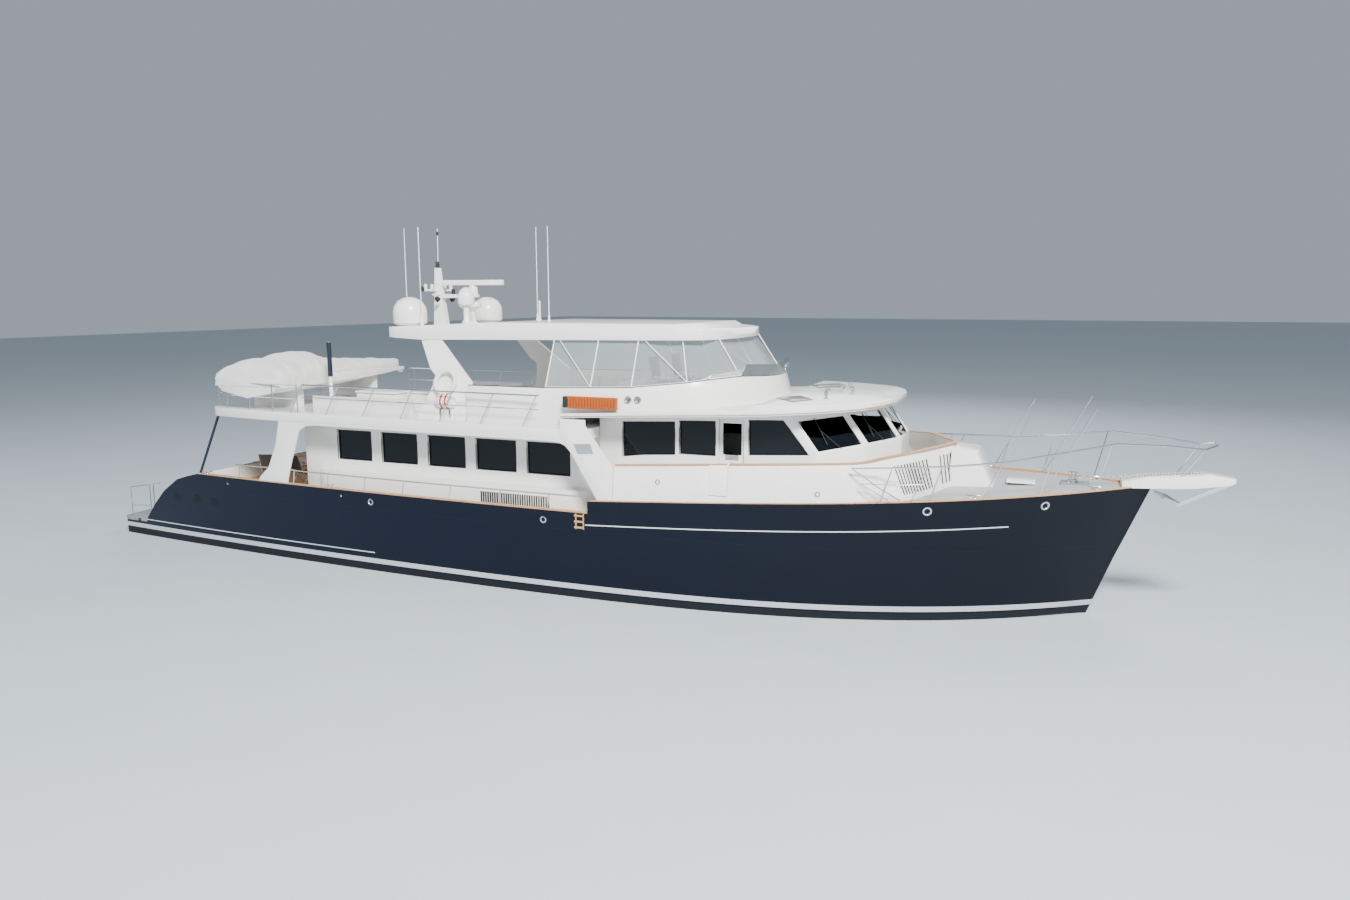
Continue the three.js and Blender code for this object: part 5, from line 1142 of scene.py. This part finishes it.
side_x = np.array([-7.42, -8.5, -9.5, -10.45, -10.72, -10.80])
side_y = np.array([3.135, 3.105, 3.00, 2.90, 2.70, 2.40])
rails = []
for z, r in ((4.83, 0.019), (4.45, 0.012)):
    star = np.column_stack([side_x, -side_y, np.full(6, z)])
    rails.append(tube(np.concatenate([star, [(-10.80, -1.2, z), (-10.80, 0, z), (-10.80, 1.2, z)],
                                      (star[2:] * [1, -1, 1])[::-1]]), r))
    rails.append(tube(star[:2] * [1, -1, 1], r))
for x in (-7.42, -8.3, -9.2, -10.1, -10.74):
    y = float(np.interp(-x, -side_x, side_y))
    for s in (-1, 1):
        if not (s > 0 and -9.45 < x < -8.6):
            rails.append(tube([(x, s * y, 4.082), (x, s * y, 4.83)], 0.016))
for y in (-1.5, -0.5, 0.5, 1.5):
    rails.append(tube([(-10.80, y, 4.082), (-10.80, y, 4.83)], 0.016))
rails.append(tube([(-8.5, 3.105, 4.083), (-8.5, 3.105, 4.83)], 0.016))
build("after_boat_deck_rail", rails, "yacht", stainless)
t = np.linspace(0, 2 * np.pi, 49)[:-1]
ring = np.column_stack([-2.93 + 0.29 * np.cos(t), -2.78 + 0.29 * np.sin(t) * 0.34,
                        5.03 + 0.29 * np.sin(t) * 0.94])
foam, tree, shader, place = new_material("white_cased_foam", Roughness=0.6)
foam_mottle = add_node(tree, "ShaderNodeTexNoise", Vector=place, Scale=40.0, Detail=3.0).outputs[0]
# random darker and lighter mottling over the white case
tone = add_node(tree, "ShaderNodeMix", {"data_type": "RGBA"}, in_0=foam_mottle, in_6=linear("#dcdcd8"),
                in_7=linear("#f2f2ee"))
tree.links.new(tone.outputs[2], shader.inputs["Base Color"])
build("life_ring", [swept(ring, circle(0.055, 12), closed=True)], "yacht", foam)
canister = turned((-2.55, -2.86, 4.56), (-1, 0, 0), [(0, 0.12), (0.02, 0.16), (0.12, 0.185), (0.13, 0.195),
                                                     (0.15, 0.195), (0.16, 0.185), (0.40, 0.185),
                                                     (0.41, 0.195), (0.43, 0.195), (0.44, 0.185),
                                                     (0.54, 0.16), (0.56, 0.12)], 24)
build("raft_canister", [canister], "yacht", white)
red, tree, shader, place = new_material("red_webbing", Roughness=0.8)
rib = add_node(tree, "ShaderNodeTexWave", Vector=place, Scale=120.0).outputs[1]
tone = add_node(tree, "ShaderNodeMix", {"data_type": "RGBA"}, in_0=rib, in_6=linear("#9c2118"),
                in_7=linear("#c93a2b"))
tree.links.new(tone.outputs[2], shader.inputs["Base Color"])
bands = []
for x in (-2.78, -2.92):
    loop = np.column_stack([np.full(48, x), -2.86 + 0.193 * np.cos(t), 4.56 + 0.193 * np.sin(t)])
    bands.append(swept(loop, slab(0.05, 0.008), closed=True))
build("raft_bands", bands, "yacht", red)
cradle = [block(-3.0, -2.95, -2.98, -2.74, 4.085, 4.38), block(-2.72, -2.67, -2.98, -2.74, 4.085, 4.38)]
build("raft_cradle", cradle, "yacht", stainless, bevel=0.005)
sleeve = turned((-7.43, -1.8, 4.96), (0, 0, 1), [(0, 0.064), (0.02, 0.068), (0.93, 0.062), (0.955, 0.066),
                                                 (0.958, 0.03)], 20)
build("davit_sleeve", [sleeve], "davit_column", painted_pole)
box_parts = [block(-6.6, -5.3, -1.75, -1.05, 4.084, 4.52), block(-6.63, -5.27, -1.78, -1.02, 4.53, 4.585)]
box_parts += [block(-4.9, -4.1, -1.7, -0.9, 4.084, 4.56), block(-4.93, -4.07, -1.73, -0.87, 4.57, 4.62)]
build("deck_boxes", box_parts, "yacht", white, bevel=0.02)


# ---- foredeck gear -------------------------------------------------------------------------
# Galvanised chain runs from the windlass to the bow roller; cast stainless cleats are through-
# bolted along the deck edges and the after bulwark cap, and two hinge barrels ride on the hatch.

galvanised, tree, shader, place = new_material("galvanised_steel", Metallic=1.0, Roughness=0.5)
spangle = add_node(tree, "ShaderNodeTexVoronoi", Vector=place, Scale=120.0).outputs["Distance"]
tone = add_node(tree, "ShaderNodeMix", {"data_type": "RGBA"}, in_0=spangle, in_6=linear("#84888b"),
                in_7=linear("#a9adb0"))
tree.links.new(tone.outputs[2], shader.inputs["Base Color"])
route = np.array([(12.02, 0.07, 3.12), (12.3, 0.02, 3.13), (12.92, 0.0, 3.20), (13.4, 0.0, 3.285),
                  (14.45, 0.0, 3.395)])
run = np.concatenate([[0], np.linalg.norm(np.diff(route, axis=0), axis=1).cumsum()])
stops = np.arange(0.03, run[-1], 0.062)
spots = np.stack([np.interp(stops, run, route[:, a]) for a in range(3)], 1)
links = []
t = np.linspace(0, 2 * np.pi, 13)[:-1]
for k, spot in enumerate(spots):
    oval = np.column_stack([0.042 * np.cos(t), 0.022 * np.sin(t), np.zeros(12)])
    if k % 2:
        oval = oval[:, [0, 2, 1]]
    links.append(swept(spot + oval, circle(0.0075, 6), closed=True))
build("anchor_chain", links, "yacht", galvanised)
cleats = []
for x in (12.35, 9.9, 6.9, -11.1, -6.4):
    y = float(half_beam(x)) - (0.24 if x > 0 else 0.062)
    z = float(sheer(x)) + 0.002 if x > 0 else 2.149
    for s in (-1, 1):
        for dx in (-0.05, 0.05):
            cleats.append(turned((x + dx, s * y, z), (0, 0, 1),
                                 [(0, 0.028), (0.008, 0.026), (0.02, 0.014), (0.05, 0.014), (0.062, 0.02)],
                                 14))
        cleats.append(turned((x - 0.16, s * y, z + 0.066), (1, 0, 0),
                             [(0, 0.006), (0.02, 0.012), (0.11, 0.018), (0.21, 0.018), (0.30, 0.012),
                              (0.32, 0.006)], 14))
build("mooring_cleats", cleats, "yacht", stainless)
hinges = []
for y in (-0.2, 0.2):
    hinges.append(turned((10.49, y - 0.04, float(sheer(10.9)) + 0.055), (0, 1, 0),
                         [(0, 0.009), (0.08, 0.009)], 12))
build("hatch_hinges", hinges, "foredeck_hatch", stainless)
